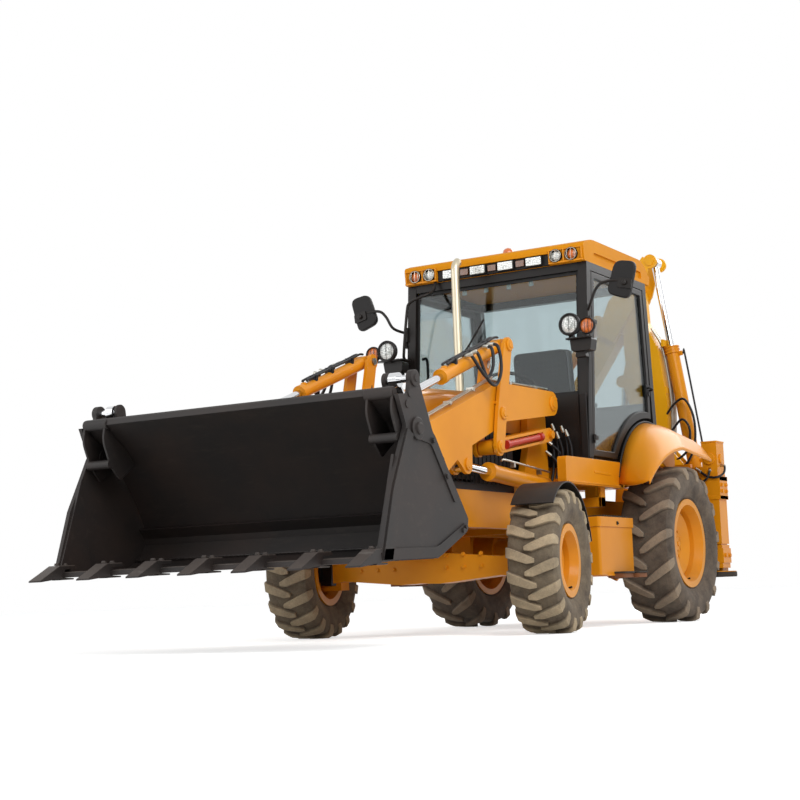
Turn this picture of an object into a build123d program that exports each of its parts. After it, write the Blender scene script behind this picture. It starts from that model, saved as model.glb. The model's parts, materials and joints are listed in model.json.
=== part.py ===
from build123d import *
import math
import os

# Backhoe loader with a clam loader bucket and a side-shift backhoe folded across its back.
# Millimetres. Lengths along the machine are measured from the front axle, + to the rear,
# heights from the ground and sideways places from the middle, + to the machine's left.
# The finished pieces are moved so that the origin lies under the middle of the whole machine.
FRONT_AXLE_Y = -430

# Clearances
PIN_GAP = 0.5
SEAT_GAP = 0.3
MOVE_GAP = 10
SLIDE_GAP = 0.4

# Running gear
WHEELBASE = 2280
FRONT_TYRE_R = 460
FRONT_TYRE_W = 330
FRONT_RIM_R = 235
FRONT_TRACK_OUT = 1070
REAR_TYRE_R = 592
REAR_TYRE_W = 410
REAR_RIM_R = 335
REAR_TRACK_OUT = 1062
KINGPIN_X = 780
KINGPIN_R = 24
STEER_REST = 8
RIM_T = 14

# Frame
RAIL_IN = 360
RAIL_OUT = 450
RAIL_BOTTOM = 700
RAIL_TOP = 940
RAIL_FRONT = -900
FRAME_REAR = 2740
TOWER_IN = 405
TOWER_OUT = 455

# Loader linkage, places as (along, height)
ARM_PIVOT = (854, 1580)
LEVER_PIVOT = (5, 1440)
LEVER_TOP = (135, 1910)
LEVER_LINK = (-55, 1215)
BUCKET_HINGE = (-1585, 870)
LIFT_EYE = (-455, 1083)
LIFT_FOOT = (800, 1000)
CROSS_TUBE = (-1110, 937)
ARM_MID_X = 530
ARM_W = 110
PLATE_T = 24
PIN_R = 28
LIFT_BARREL_R = 56
LIFT_ROD_R = 28
LIFT_BARREL_LEN = 880
TILT_BARREL_R = 44
TILT_ROD_R = 24
TILT_BARREL_LEN = 860
LINK_HALF = 42

# Loader bucket
BUCKET_HALF = 1100
SIDE_T = 25
SHELL_T = 16
CLAM_PIVOT = (-1990, 1155)
CLAM_EAR = (-2000, 1425)
CLAM_FOOT = (-1640, 1000)
CLAM_BARREL_R = 36
CLAM_BARREL_LEN = 310
CLAM_X = 985
TOOTH_COUNT = 7
TOOTH_W = 90

# Cab
CAB_HALF = 750
CAB_FLOOR = 1150
CAB_SILL = 1196
DOOR_BOTTOM = 1216
CAB_ROOF_Z = 2640
POST = 70
GLASS_T = 8
DOOR_T = 36
DOOR_HINGES = (1330, 2180)
ROOF_T = 150

# Backhoe: places as (reach from the swing axis, height)
KING_X = 562
KING_Y = 3300
SHIFT_TRAVEL = 1124
BOOM_FOOT = (300, 660)
BOOM_TIP = (270, 2728)
DIPPER_TAIL = (89, 3000)
DIPPER_RAM_FOOT = (-175, 1180)
BOOM_RAM_FOOT = (560, 400)
BOOM_RAM_EYE = (410, 2010)
BUCKET_PIN = (1120, 1450)
RAM_R = 55
RAM_ROD_R = 30
BOOM_HALF = 90
BOOM_WELL = 64
DIPPER_HALF = 76
HOE_BUCKET_HALF = 185

LOADER = Plane.YZ
HOE = Plane(origin=(KING_X, KING_Y, 0), x_dir=(-1, 0, 0), z_dir=(0, 1, 0))
LINK_OFFSET = (LEVER_LINK[0] - LEVER_PIVOT[0], LEVER_LINK[1] - LEVER_PIVOT[1])
LINK_REAR = (ARM_PIVOT[0] + LINK_OFFSET[0], ARM_PIVOT[1] + LINK_OFFSET[1])
TILT_OFFSET = (LEVER_TOP[0] - LEVER_PIVOT[0], LEVER_TOP[1] - LEVER_PIVOT[1])
TILT_EYE = (BUCKET_HINGE[0] + TILT_OFFSET[0], BUCKET_HINGE[1] + TILT_OFFSET[1])
ARM_IN = ARM_MID_X - ARM_W / 2
ARM_OUT = ARM_MID_X + ARM_W / 2
LEVER_IN = ARM_IN - MOVE_GAP - PLATE_T
LEVER_OUT = ARM_OUT + MOVE_GAP + PLATE_T

os.makedirs("parts", exist_ok=True)


def save(name, *pieces):
    """Write one node, moved into the machine's own frame."""
    solids = []
    for piece in pieces:
        solids += piece.solids()
    whole = Compound(children=solids) if len(solids) > 1 else solids[0]
    export_step(Pos(0, FRONT_AXLE_Y, 0) * whole, "parts/" + name + ".step")


def box(x0, x1, y0, y1, z0, z1):
    return Pos((x0 + x1) / 2, (y0 + y1) / 2, (z0 + z1) / 2) * Box(x1 - x0, y1 - y0, z1 - z0)


def both_sides(shape):
    return [shape, mirror(shape, about=Plane.YZ)]


def rounded(points, radii):
    """A face whose outline has these corners, each with its own radius."""
    face = make_face(Polyline(*points, close=True))
    for point, radius in zip(points, radii):
        if radius:
            corner = face.vertices().sort_by_distance((point[0], point[1], 0))[0]
            face = fillet(corner, radius)
    return face


def plate(plane, face, w0, w1):
    """Push a flat face through its plane's normal, from w0 to w1."""
    return extrude(plane.offset(w0) * face, amount=w1 - w0)


def disc(plane, at, radius, w0, w1):
    return plate(plane, Pos(*at) * Circle(radius), w0, w1)


def polygon(*points):
    return make_face(Polyline(*points, close=True))


def bar(plane, a, b, ra, rb, w0, w1):
    """A flat link with round ends about two pins."""
    length = math.dist(a, b)
    turn = math.atan2(b[1] - a[1], b[0] - a[0])
    lean = math.acos((ra - rb) / length)
    points = []
    for centre, radius, angle in ((a, ra, lean), (a, ra, -lean), (b, rb, -lean), (b, rb, lean)):
        points.append((centre[0] + radius * math.cos(turn + angle), centre[1] + radius * math.sin(turn + angle)))
    face = polygon(*points) + Pos(*a) * Circle(ra) + Pos(*b) * Circle(rb)
    return plate(plane, face, w0, w1)


def tube_between(plane, a, b, w, radius, start, end):
    """A round bar at depth w on the line a to b, from start to end along it."""
    length = math.dist(a, b)
    ux, uy = (b[0] - a[0]) / length, (b[1] - a[1]) / length
    origin = plane.from_local_coords(Vector(a[0] + ux * start, a[1] + uy * start, w))
    ahead = plane.from_local_coords(Vector(a[0] + ux * end, a[1] + uy * end, w))
    return Solid.make_cylinder(radius, end - start, Plane(origin, z_dir=ahead - origin))


def ram(plane, foot, eye, w, barrel_r, rod_r, barrel_len, foot_pin_r, eye_pin_r, eye_half, draw_in, pin):
    """Barrel and rod of a cylinder, whose rod can still draw in this far. The rod keeps its own eye pin."""
    length = math.dist(foot, eye)
    foot_boss = foot_pin_r + 22
    eye_boss = eye_pin_r + 20
    bore_start = foot_boss + 40
    barrel = disc(plane, foot, foot_boss, w - eye_half, w + eye_half)
    barrel += tube_between(plane, foot, eye, w, barrel_r, foot_boss * 0.8, barrel_len)
    barrel += tube_between(plane, foot, eye, w, barrel_r + 6, barrel_len - 50, barrel_len)
    barrel -= disc(plane, foot, foot_pin_r + PIN_GAP, w - eye_half - 1, w + eye_half + 1)
    barrel -= tube_between(plane, foot, eye, w, rod_r + SEAT_GAP, bore_start, barrel_len + 1)
    rod = tube_between(plane, foot, eye, w, rod_r, bore_start + draw_in + 5, length - eye_boss * 0.8)
    rod += disc(plane, eye, eye_boss, w - eye_half, w + eye_half)
    rod += disc(plane, eye, eye_pin_r, w + pin[0] + SLIDE_GAP, w + pin[1] - SLIDE_GAP)
    return barrel, rod


def wheel_axis(x0, x1, y, z, radius):
    return plate(Plane.YZ, Pos(y, z) * Circle(radius), x0, x1)


# Wheels
def tyre(outer, width, rim, middle_x, y):
    """Plain carcass out to the lugs' tips, turned about the axle."""
    half = width / 2
    profile = [
        (rim, -half * 0.72),
        (rim + 0.35 * (outer - rim), -half * 0.98),
        (outer * 0.94, -half),
        (outer, -half * 0.86),
        (outer, half * 0.86),
        (outer * 0.94, half),
        (rim + 0.35 * (outer - rim), half * 0.98),
        (rim, half * 0.72),
    ]
    ring = revolve(Plane.XY * polygon(*[(b, a) for a, b in profile]), Axis.X)
    return Pos(middle_x, y, outer) * ring


def rim(outer_r, width, dish_x, hub_r, middle_x, y, z, side):
    """Wheel rim: a turned barrel with flanges, closed by a dished disc bolted to the hub."""
    half = width / 2 * 0.72 - SEAT_GAP
    tube = [
        (half, outer_r + 16), (half, outer_r - RIM_T * 1.6), (half * 0.6, outer_r - RIM_T * 2.6),
        (-half * 0.6, outer_r - RIM_T * 2.6), (-half, outer_r - RIM_T * 1.6), (-half, outer_r + 16),
        (-half - RIM_T, outer_r + 16), (-half - RIM_T, outer_r - RIM_T * 2), (-half * 0.6 - 4, outer_r - RIM_T * 3.6),
        (half * 0.6 + 4, outer_r - RIM_T * 3.6), (half + RIM_T, outer_r - RIM_T * 2), (half + RIM_T, outer_r + 16),
    ]
    barrel = revolve(Plane.XY * polygon(*tube), Axis.X)
    disc_face = [
        (dish_x, 0), (dish_x, hub_r + 30), (dish_x + 46, outer_r * 0.74), (dish_x + 20, outer_r - RIM_T * 2.8),
        (dish_x + 20 + RIM_T, outer_r - RIM_T * 2.8), (dish_x + 46 + RIM_T, outer_r * 0.74),
        (dish_x + RIM_T, hub_r + 20), (dish_x + RIM_T, 0),
    ]
    barrel += revolve(Plane.XY * polygon(*disc_face), Axis.X)
    if side < 0:
        barrel = mirror(barrel, about=Plane.YZ)
    return Pos(middle_x, y, z) * barrel


def steered(shape, side):
    """Turn a front corner's piece about its kingpin to the stored steering angle."""
    centre = Pos(side * KINGPIN_X, 0, 0)
    return centre * Rot(0, 0, STEER_REST) * Pos(-side * KINGPIN_X, 0, 0) * shape


FRONT_MID = FRONT_TRACK_OUT - FRONT_TYRE_W / 2
REAR_MID = REAR_TRACK_OUT - REAR_TYRE_W / 2
FRONT_DISH = -20
REAR_DISH = 10
for side, name in ((1, "left"), (-1, "right")):
    front_tyre = tyre(FRONT_TYRE_R, FRONT_TYRE_W, FRONT_RIM_R, side * FRONT_MID, 0)
    front_rim = rim(FRONT_RIM_R - 16, FRONT_TYRE_W, FRONT_DISH, 70, side * FRONT_MID, 0, FRONT_TYRE_R, side)
    save("tyre_front_" + name, steered(front_tyre, side))
    save("rim_front_" + name, steered(front_rim, side))
    save("tyre_rear_" + name, tyre(REAR_TYRE_R, REAR_TYRE_W, REAR_RIM_R, side * REAR_MID, WHEELBASE))
    save("rim_rear_" + name, rim(REAR_RIM_R - 16, REAR_TYRE_W, REAR_DISH, 110, side * REAR_MID, WHEELBASE, REAR_TYRE_R, side))

# Front axle beam with its centre pivot and a fork at each end, and the knuckles in the forks
AXLE_Z = FRONT_TYRE_R
FORK_TOP = AXLE_Z + 105
FORK_BOTTOM = AXLE_Z - 105
beam_outline = [
    (0, 350), (150, 345), (600, 385), (690, 375), (690, 520), (600, 505), (150, 548), (0, 548),
]
half_beam = plate(Plane.XZ, polygon(*beam_outline), -90, 90)
FORK_T = 30
FORK_R = 50
NECK_X = 650
fork = box(NECK_X, NECK_X + 40, -FORK_R, FORK_R, FORK_BOTTOM - FORK_T, FORK_TOP + FORK_T)
for z in (FORK_BOTTOM - FORK_T, FORK_TOP):
    fork += box(NECK_X, KINGPIN_X, -FORK_R, FORK_R, z, z + FORK_T)
    fork += Pos(KINGPIN_X, 0, z + FORK_T / 2) * Cylinder(FORK_R, FORK_T)
fork += Pos(KINGPIN_X, 0, AXLE_Z) * Cylinder(KINGPIN_R, FORK_TOP - FORK_BOTTOM + 10)
beam = half_beam + fork
beam += mirror(beam, about=Plane.YZ)
beam += disc(Plane.XZ, (0, 590), 60, -150, 150)
beam += box(-60, 60, -90, 90, 500, 600)
save("front_axle", beam)

GUARD_R = FRONT_TYRE_R + 46
GUARD_T = 8
GUARD_IN = 770
GUARD_OUT = 1050
STAY_Y = 112
STAY_Z = AXLE_Z + 70
for side, name in ((1, "left"), (-1, "right")):
    hub_x = FRONT_MID + FRONT_DISH
    carrier = box(KINGPIN_X - 40, KINGPIN_X + 40, -48, 48, FORK_BOTTOM + 6, FORK_TOP - 6)
    carrier -= Pos(KINGPIN_X, 0, AXLE_Z) * Cylinder(KINGPIN_R + PIN_GAP, 400)
    carrier += wheel_axis(KINGPIN_X + 30, hub_x - SEAT_GAP, 0, AXLE_Z, 82)
    arc = CenterArc((0, AXLE_Z), GUARD_R, 15, 120)
    inner = CenterArc((0, AXLE_Z), GUARD_R - GUARD_T, 15, 120)
    ends = [Line(arc @ 0, inner @ 0), Line(arc @ 1, inner @ 1)]
    guard = plate(Plane.YZ, make_face([arc, inner] + ends), GUARD_IN, GUARD_OUT)
    stay = box(KINGPIN_X - 20, KINGPIN_X + 20, 40, STAY_Y + 18, STAY_Z, STAY_Z + 20)
    stay += box(710, KINGPIN_X, STAY_Y, STAY_Y + 18, STAY_Z, STAY_Z + 20)
    stay += box(710, 730, STAY_Y, STAY_Y + 18, STAY_Z, AXLE_Z + GUARD_R - 20)
    stay += box(710, GUARD_IN + 60, STAY_Y, STAY_Y + 18, AXLE_Z + GUARD_R - 32, AXLE_Z + GUARD_R - 16)
    knuckle = carrier + stay + guard
    if side < 0:
        knuckle = mirror(knuckle, about=Plane.YZ)
    save("knuckle_" + name, steered(knuckle, side))

# Rear axle: casing, final drives and hubs, carried under the rails
rear_axle = wheel_axis(-700, 700, WHEELBASE, REAR_TYRE_R, 105)
rear_axle += Pos(0, WHEELBASE, REAR_TYRE_R) * Sphere(200)
REAR_HUB_X = REAR_MID + REAR_DISH - SEAT_GAP
for side in (1, -1):
    rear_axle += wheel_axis(min(side * 600, side * REAR_HUB_X), max(side * 600, side * REAR_HUB_X), WHEELBASE, REAR_TYRE_R, 150)
    x0, x1 = sorted((side * RAIL_IN, side * RAIL_OUT))
    rear_axle += box(x0, x1, WHEELBASE - 90, WHEELBASE + 90, REAR_TYRE_R, RAIL_BOTTOM)
save("rear_axle", rear_axle)

# Main frame: two rails, cross members and front axle bracket
frame = box(RAIL_IN, RAIL_OUT, RAIL_FRONT, FRAME_REAR, RAIL_BOTTOM, RAIL_TOP)
frame += mirror(frame, about=Plane.YZ)
for y0, y1 in ((RAIL_FRONT, RAIL_FRONT + 60), (-160, -120), (120, 160), (1250, 1310), (FRAME_REAR - 60, FRAME_REAR)):
    frame += box(-RAIL_IN, RAIL_IN, y0, y1, RAIL_BOTTOM, 780)
for y0, y1 in ((1100, 1180), (1850, 1930)):
    frame += box(RAIL_IN, RAIL_OUT, y0, y1, RAIL_TOP - 1, CAB_FLOOR - SEAT_GAP)
for y0, y1 in ((-160, -120), (120, 160)):
    hanger = box(-130, 130, y0, y1, 520, RAIL_BOTTOM + 1)
    hanger -= disc(Plane.XZ, (0, 590), 60 + PIN_GAP, -y1 - 1, -y0 + 1)
    frame += hanger
save("main_frame", frame)

# Loader towers on the rails, with the pins of the arms, level links and lift cylinders
TOWER_FOOT = RAIL_TOP + SEAT_GAP
tower_outline = [(560, TOWER_FOOT), (1020, TOWER_FOOT), (1000, 1500), (930, 1660), (790, 1660), (700, 1480), (690, 1250)]
tower = plate(LOADER, rounded(tower_outline, (0, 0, 0, 60, 60, 40, 0)), TOWER_IN, TOWER_OUT)
for place, radius in ((ARM_PIVOT, PIN_R), (LINK_REAR, PIN_R), (LIFT_FOOT, PIN_R)):
    tower += disc(LOADER, place, radius, TOWER_OUT, ARM_OUT + 22)
    tower += disc(LOADER, place, radius + 20, TOWER_OUT, ARM_IN - 6)
save("loader_towers", *both_sides(tower))

# Engine block, closed inside the hood
engine = box(-260, 260, -300, 600, 790, 1340)
for lug in both_sides(box(250, RAIL_IN, -60, 40, 800, 860)):
    engine += lug
save("engine_block", engine)

# Hood over louvred side grilles and a front grille
HOOD_HALF = 400
HOOD_FRONT = -940
HOOD_REAR = 1040
GRILLE_TOP = 1360
hood_section = rounded([(-HOOD_HALF, GRILLE_TOP), (HOOD_HALF, GRILLE_TOP), (HOOD_HALF, 1610), (-HOOD_HALF, 1610)], (0, 0, 70, 70))
hood_void = rounded([(-HOOD_HALF + 12, GRILLE_TOP - 1), (HOOD_HALF - 12, GRILLE_TOP - 1), (HOOD_HALF - 12, 1598), (-HOOD_HALF + 12, 1598)], (0, 0, 60, 60))
hood = plate(Plane.XZ, hood_section, -HOOD_REAR, -HOOD_FRONT) - plate(Plane.XZ, hood_void, -HOOD_REAR - 1, -HOOD_FRONT - 14)
save("hood", hood)
GRILLE_T = 15
grille = box(TOWER_IN - 5 - GRILLE_T, TOWER_IN - 5, HOOD_FRONT, 560, RAIL_TOP, GRILLE_TOP)
SLOT_COUNT = 7
for row in range(SLOT_COUNT):
    z = RAIL_TOP + 50 + row * 52
    grille -= box(TOWER_IN - 40, TOWER_IN + 1, HOOD_FRONT + 60, -40, z, z + 26)
side_grilles = both_sides(grille)
front_grille = box(-TOWER_IN + 5, TOWER_IN - 5, HOOD_FRONT, HOOD_FRONT + GRILLE_T, RAIL_TOP, GRILLE_TOP)
for row in range(SLOT_COUNT):
    z = RAIL_TOP + 50 + row * 52
    front_grille -= box(-330, 330, HOOD_FRONT - 1, HOOD_FRONT + GRILLE_T + 1, z, z + 30)
save("grille", side_grilles[0] + side_grilles[1] + front_grille)

# Exhaust stack beside the windshield
EXHAUST_X = -200
EXHAUST_Y = 950
STACK_R = 31
BEND_R = 90
bend_start = (EXHAUST_X, EXHAUST_Y, 2650)
bend_mid = (EXHAUST_X, EXHAUST_Y + BEND_R * (1 - math.cos(math.radians(30))), 2650 + BEND_R * 0.5)
bend_end = (EXHAUST_X, EXHAUST_Y + BEND_R * 0.5, 2650 + BEND_R * math.sin(math.radians(60)))
stack = sweep(Plane((EXHAUST_X, EXHAUST_Y, 1610)) * Circle(STACK_R), path=Line((EXHAUST_X, EXHAUST_Y, 1610), bend_start))
stack += sweep(Plane(bend_start) * Circle(STACK_R), path=ThreePointArc(bend_start, bend_mid, bend_end))
save("exhaust", stack)

# Arms with lift-cylinder brackets, joined by a tube
arm_outline = [
    (ARM_PIVOT[0], 1665), (20, 1650), (-990, 1292), (-1265, 1066), (-1480, 1035), (-1628, 912),
    (-1545, 825), (-1385, 969), (-1240, 905), (-1110, 870), (-860, 940), (-470, 1175), (-24, 1339), (112, 1397), (ARM_PIVOT[0], 1495),
]
arm_radii = (0, 120, 140, 120, 60, 0, 0, 60, 60, 60, 120, 120, 60, 60, 0)
arm_face = rounded(arm_outline, arm_radii) + Pos(*ARM_PIVOT) * Circle(85) + Pos(*BUCKET_HINGE) * Circle(60)
arm = plate(LOADER, arm_face, ARM_IN, ARM_OUT)
bracket_outline = [(-690, 1180), (-560, 1290), (-380, 1280), (-395, 1060), (-500, 1040)]
bracket_face = rounded(bracket_outline, (30, 60, 60, 0, 0)) + Pos(*LIFT_EYE) * Circle(62)
arm += plate(LOADER, bracket_face, ARM_IN, ARM_IN + PLATE_T)
arm += plate(LOADER, bracket_face, ARM_OUT - PLATE_T, ARM_OUT)
for x0, x1 in ((ARM_IN - 8, ARM_IN), (ARM_OUT, ARM_OUT + 8)):
    arm += disc(LOADER, LIFT_EYE, 40, x0, x1)
arm -= disc(LOADER, LIFT_EYE, 100, ARM_IN + PLATE_T, ARM_OUT - PLATE_T)
for place in (ARM_PIVOT, LEVER_PIVOT, BUCKET_HINGE):
    arm -= disc(LOADER, place, PIN_R + PIN_GAP, ARM_IN - 1, ARM_OUT + 1)
arms = arm + mirror(arm, about=Plane.YZ) + disc(LOADER, CROSS_TUBE, 55, -ARM_IN, ARM_IN)
save("loader_arms", arms)

# Levers that keep the bucket level, their links and the pins at their tops
lever_outline = [
    (LEVER_TOP[0] - 70, LEVER_TOP[1] + 10), (LEVER_TOP[0] + 45, LEVER_TOP[1] + 10),
    (LEVER_PIVOT[0] + 70, LEVER_PIVOT[1] + 60), (LEVER_LINK[0] + 60, LEVER_LINK[1]), (LEVER_LINK[0] - 60, LEVER_LINK[1]),
    (LEVER_PIVOT[0] - 75, LEVER_PIVOT[1]),
]
lever_face = polygon(*lever_outline) + Pos(*LEVER_TOP) * Circle(52) + Pos(*LEVER_LINK) * Circle(58)
lever = plate(LOADER, lever_face, LEVER_IN, LEVER_IN + PLATE_T) + plate(LOADER, lever_face, LEVER_OUT - PLATE_T, LEVER_OUT)
lever += disc(LOADER, LEVER_PIVOT, PIN_R, LEVER_IN, LEVER_OUT) + disc(LOADER, LEVER_LINK, PIN_R, LEVER_IN, LEVER_OUT)
lever -= disc(LOADER, LEVER_TOP, PIN_R - 4 + PIN_GAP, LEVER_IN - 1, LEVER_OUT + 1)
save("loader_levers", *both_sides(lever))
save("lever_top_pins", *both_sides(disc(LOADER, LEVER_TOP, PIN_R - 4, LEVER_IN - 14, LEVER_OUT + 14)))

link = bar(LOADER, LINK_REAR, LEVER_LINK, LINK_HALF + 6, LINK_HALF + 6, ARM_IN + 2, ARM_OUT - 2)
link_run = math.dist(LINK_REAR, LEVER_LINK)
link -= tube_between(LOADER, LINK_REAR, LEVER_LINK, ARM_OUT - 2, 30, 110, link_run - 110)
for place in (LINK_REAR, LEVER_LINK):
    link -= disc(LOADER, place, PIN_R + PIN_GAP, ARM_IN, ARM_OUT)
save("level_links", *both_sides(link))
strut = tube_between(LOADER, LINK_REAR, LEVER_LINK, ARM_OUT - 2, 22, 150, link_run - 150)
strut += tube_between(LOADER, LINK_REAR, LEVER_LINK, ARM_OUT - 2, 29.7, 150, 190)
strut += tube_between(LOADER, LINK_REAR, LEVER_LINK, ARM_OUT - 2, 29.7, link_run - 190, link_run - 150)
save("safety_struts", *both_sides(strut))

lift_barrel, lift_rod = ram(LOADER, LIFT_FOOT, LIFT_EYE, ARM_MID_X, LIFT_BARREL_R, LIFT_ROD_R, LIFT_BARREL_LEN, PIN_R, PIN_R, 28, 115, (-31, 31))
save("lift_barrels", *both_sides(lift_barrel))
save("lift_rods", *both_sides(lift_rod))
tilt_barrel, tilt_rod = ram(LOADER, LEVER_TOP, TILT_EYE, ARM_MID_X, TILT_BARREL_R, TILT_ROD_R, TILT_BARREL_LEN, PIN_R - 4, PIN_R - 4, 40, 255, (-69, 69))
save("tilt_barrels", *both_sides(tilt_barrel))
save("tilt_rods", *both_sides(tilt_rod))
BRACKET_IN = LEVER_IN - 4
BRACKET_OUT = LEVER_OUT + 4
save("bucket_pins", *both_sides(disc(LOADER, BUCKET_HINGE, PIN_R, BRACKET_IN - 10, BRACKET_OUT + 10)))

# Mouldboard: the fixed back of the clam bucket, with its hinge and cylinder brackets
BOARD_HALF = BUCKET_HALF - SIDE_T - MOVE_GAP
BOARD_TOP = (-2170, 1328)
BOARD_MID = (-1850, 1075)
BOARD_BOTTOM = (-1605, 700)
face_arc = ThreePointArc(BOARD_TOP, BOARD_MID, BOARD_BOTTOM)
back_arc = ThreePointArc((BOARD_TOP[0] + 6, BOARD_TOP[1] + 22), (BOARD_MID[0] + 12, BOARD_MID[1] + 12), (BOARD_BOTTOM[0] + 22, BOARD_BOTTOM[1] + 4))
board_face = make_face([face_arc, back_arc, Line(face_arc @ 0, back_arc @ 0), Line(face_arc @ 1, back_arc @ 1)])
board = plate(LOADER, board_face, -BOARD_HALF, BOARD_HALF)
inside_face = make_face([face_arc, Line(face_arc @ 0, (-2600, 1200)), Line((-2600, 1200), (-2600, 600)), Line((-2600, 600), face_arc @ 1)])
inside = plate(LOADER, inside_face, -BOARD_HALF, BOARD_HALF)
ear_outline = [(-1900, 1160), TILT_EYE, (-1560, 800), (-1700, 820)]
ear_face = polygon((-1960, 1180), (TILT_EYE[0] - 30, TILT_EYE[1] + 50), (TILT_EYE[0] + 55, TILT_EYE[1] - 20), (BUCKET_HINGE[0] + 60, BUCKET_HINGE[1]), (-1590, 770), (-1720, 840))
ear_face += Pos(*TILT_EYE) * Circle(58)
ear_face += Pos(*BUCKET_HINGE) * Circle(68)
for x0, x1 in ((BRACKET_IN, BRACKET_IN + PLATE_T), (BRACKET_OUT - PLATE_T, BRACKET_OUT)):
    ears = plate(LOADER, ear_face, x0, x1) - inside
    ears -= disc(LOADER, BUCKET_HINGE, PIN_R + PIN_GAP, x0 - 1, x1 + 1)
    board += ears + mirror(ears, about=Plane.YZ)
for x0, x1 in ((BRACKET_IN - 10, BRACKET_IN), (BRACKET_OUT, BRACKET_OUT + 10)):
    pin_head = disc(LOADER, TILT_EYE, 36, x0, x1)
    board += pin_head + mirror(pin_head, about=Plane.YZ)
foot_face = polygon((-1790, 1060), (CLAM_FOOT[0] - 20, CLAM_FOOT[1] + 40), (CLAM_FOOT[0] + 36, CLAM_FOOT[1]), (-1640, 860), (-1680, 900)) + Pos(*CLAM_FOOT) * Circle(38)
foot = plate(LOADER, foot_face, CLAM_X - 64, CLAM_X - 48) + plate(LOADER, foot_face, CLAM_X + 48, CLAM_X + 64)
foot -= inside
foot += disc(LOADER, CLAM_FOOT, 20, CLAM_X - 64, CLAM_X + 64)
board += foot + mirror(foot, about=Plane.YZ)
pivot_pin = disc(LOADER, CLAM_PIVOT, 30, BOARD_HALF - 20, BUCKET_HALF + 8)
pivot_plate = bar(LOADER, CLAM_PIVOT, (-1880, 1140), 60, 50, BOARD_HALF - 20, BOARD_HALF)
board += pivot_pin + pivot_plate + mirror(pivot_pin + pivot_plate, about=Plane.YZ)
save("bucket_back", board)

# Clam: side plates, floor, cutting edge and teeth, pivoted on the back
side_outline = [
    (-2035, 1440), (-1960, 1440), (-1820, 1156), (-1450, 690), (-1462, 620), (-1810, 470), (-2405, 452), (-2280, 830), (-2100, 1165), (-2175, 1325), (-2060, 1340),
]
side_face = rounded(side_outline, (20, 20, 0, 0, 30, 0, 0, 0, 30, 0, 0)) + Pos(*CLAM_EAR) * Circle(46)
side_plate = plate(LOADER, side_face, BUCKET_HALF - SIDE_T, BUCKET_HALF)
side_plate -= disc(LOADER, CLAM_PIVOT, 30 + PIN_GAP, BUCKET_HALF - SIDE_T - 1, BUCKET_HALF + 1)
inner_ear = bar(LOADER, CLAM_EAR, (-1978, 1330), 44, 34, CLAM_X - 64, CLAM_X - 48)
inner_ear += box(CLAM_X - 64, BUCKET_HALF - SIDE_T + 1, -1988, -1968, 1300, 1345)
side_plate += inner_ear + disc(LOADER, CLAM_EAR, 32, BUCKET_HALF, BUCKET_HALF + 6)
clam = side_plate + mirror(side_plate, about=Plane.YZ)
floor_face = polygon(
    (-2420, 450), (-1812, 468), (-1655, 530), (-1588, 630), (-1600, 686), (-1650, 740), (-1664, 732), (-1616, 678),
    (-1606, 640), (-1668, 550), (-1818, 490), (-2420, 474)
)
clam += plate(LOADER, floor_face, -BUCKET_HALF + SIDE_T, BUCKET_HALF - SIDE_T)
tooth_outline = [(-2400, 470), (-2400, 495), (-2310, 500), (-2310, 515), (-2440, 512), (-2600, 432), (-2600, 424), (-2400, 446)]
TOOTH_PITCH = (2 * BUCKET_HALF - TOOTH_W) / (TOOTH_COUNT - 1)
for number in range(TOOTH_COUNT):
    x = -BUCKET_HALF + number * TOOTH_PITCH
    clam += plate(LOADER, polygon(*tooth_outline), x, x + TOOTH_W)
save("bucket_clam", clam)
clam_barrel, clam_rod = ram(LOADER, CLAM_FOOT, CLAM_EAR, CLAM_X, CLAM_BARREL_R, 20, CLAM_BARREL_LEN, 20, 20, 26, 192,
                           (-48, BUCKET_HALF - SIDE_T - CLAM_X))
save("clam_barrels", *both_sides(clam_barrel))
save("clam_rods", *both_sides(clam_rod))

# Cab: floor, posts, top frame and rear wall, with glass and two doors
CAB_FRONT = 1070
CAB_FRONT_TOP = 1200
CAB_REAR = 2440
CAB_REAR_TOP = 2330
DOOR_REAR = 2300


def door_edge(z):
    """How far back the leaning front edge of the doors lies at this height."""
    return CAB_FRONT + POST + 10 + 124 * (z - DOOR_BOTTOM) / (CAB_ROOF_Z - 66 - DOOR_BOTTOM)


cab = box(-635, 635, CAB_FRONT, CAB_REAR, CAB_FLOOR, CAB_SILL + 4)
post_face = polygon(
    (CAB_FRONT, CAB_SILL), (CAB_FRONT + POST, CAB_SILL), (CAB_FRONT_TOP + POST, CAB_ROOF_Z), (CAB_FRONT_TOP, CAB_ROOF_Z)
)
front_post = plate(LOADER, post_face, CAB_HALF - POST, CAB_HALF)
rear_face = polygon(
    (CAB_REAR - POST, CAB_SILL), (CAB_REAR, CAB_SILL), (CAB_REAR_TOP, CAB_ROOF_Z), (CAB_REAR_TOP - POST, CAB_ROOF_Z)
)
rear_post = plate(LOADER, rear_face, CAB_HALF - POST, CAB_HALF)
header = box(CAB_HALF - POST, CAB_HALF, CAB_FRONT_TOP, CAB_REAR_TOP, CAB_ROOF_Z - 60, CAB_ROOF_Z)
sill = box(600, CAB_HALF - DOOR_T - 4, CAB_FRONT, CAB_REAR, CAB_SILL, CAB_SILL + 50)
cab_side = front_post + rear_post + header + sill
cab += cab_side + mirror(cab_side, about=Plane.YZ)
HINGE_AT = (CAB_HALF + 16, CAB_FRONT + 80)
HINGE_R = 8
for z in DOOR_HINGES:
    bracket = box(CAB_HALF - 1, HINGE_AT[0] + 8, HINGE_AT[1] - 12, door_edge(z) - 8, z - 24, z - 1)
    bracket += Solid.make_cylinder(HINGE_R, 50, Plane((*HINGE_AT, z - 10)))
    cab += bracket + mirror(bracket, about=Plane.YZ)
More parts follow.
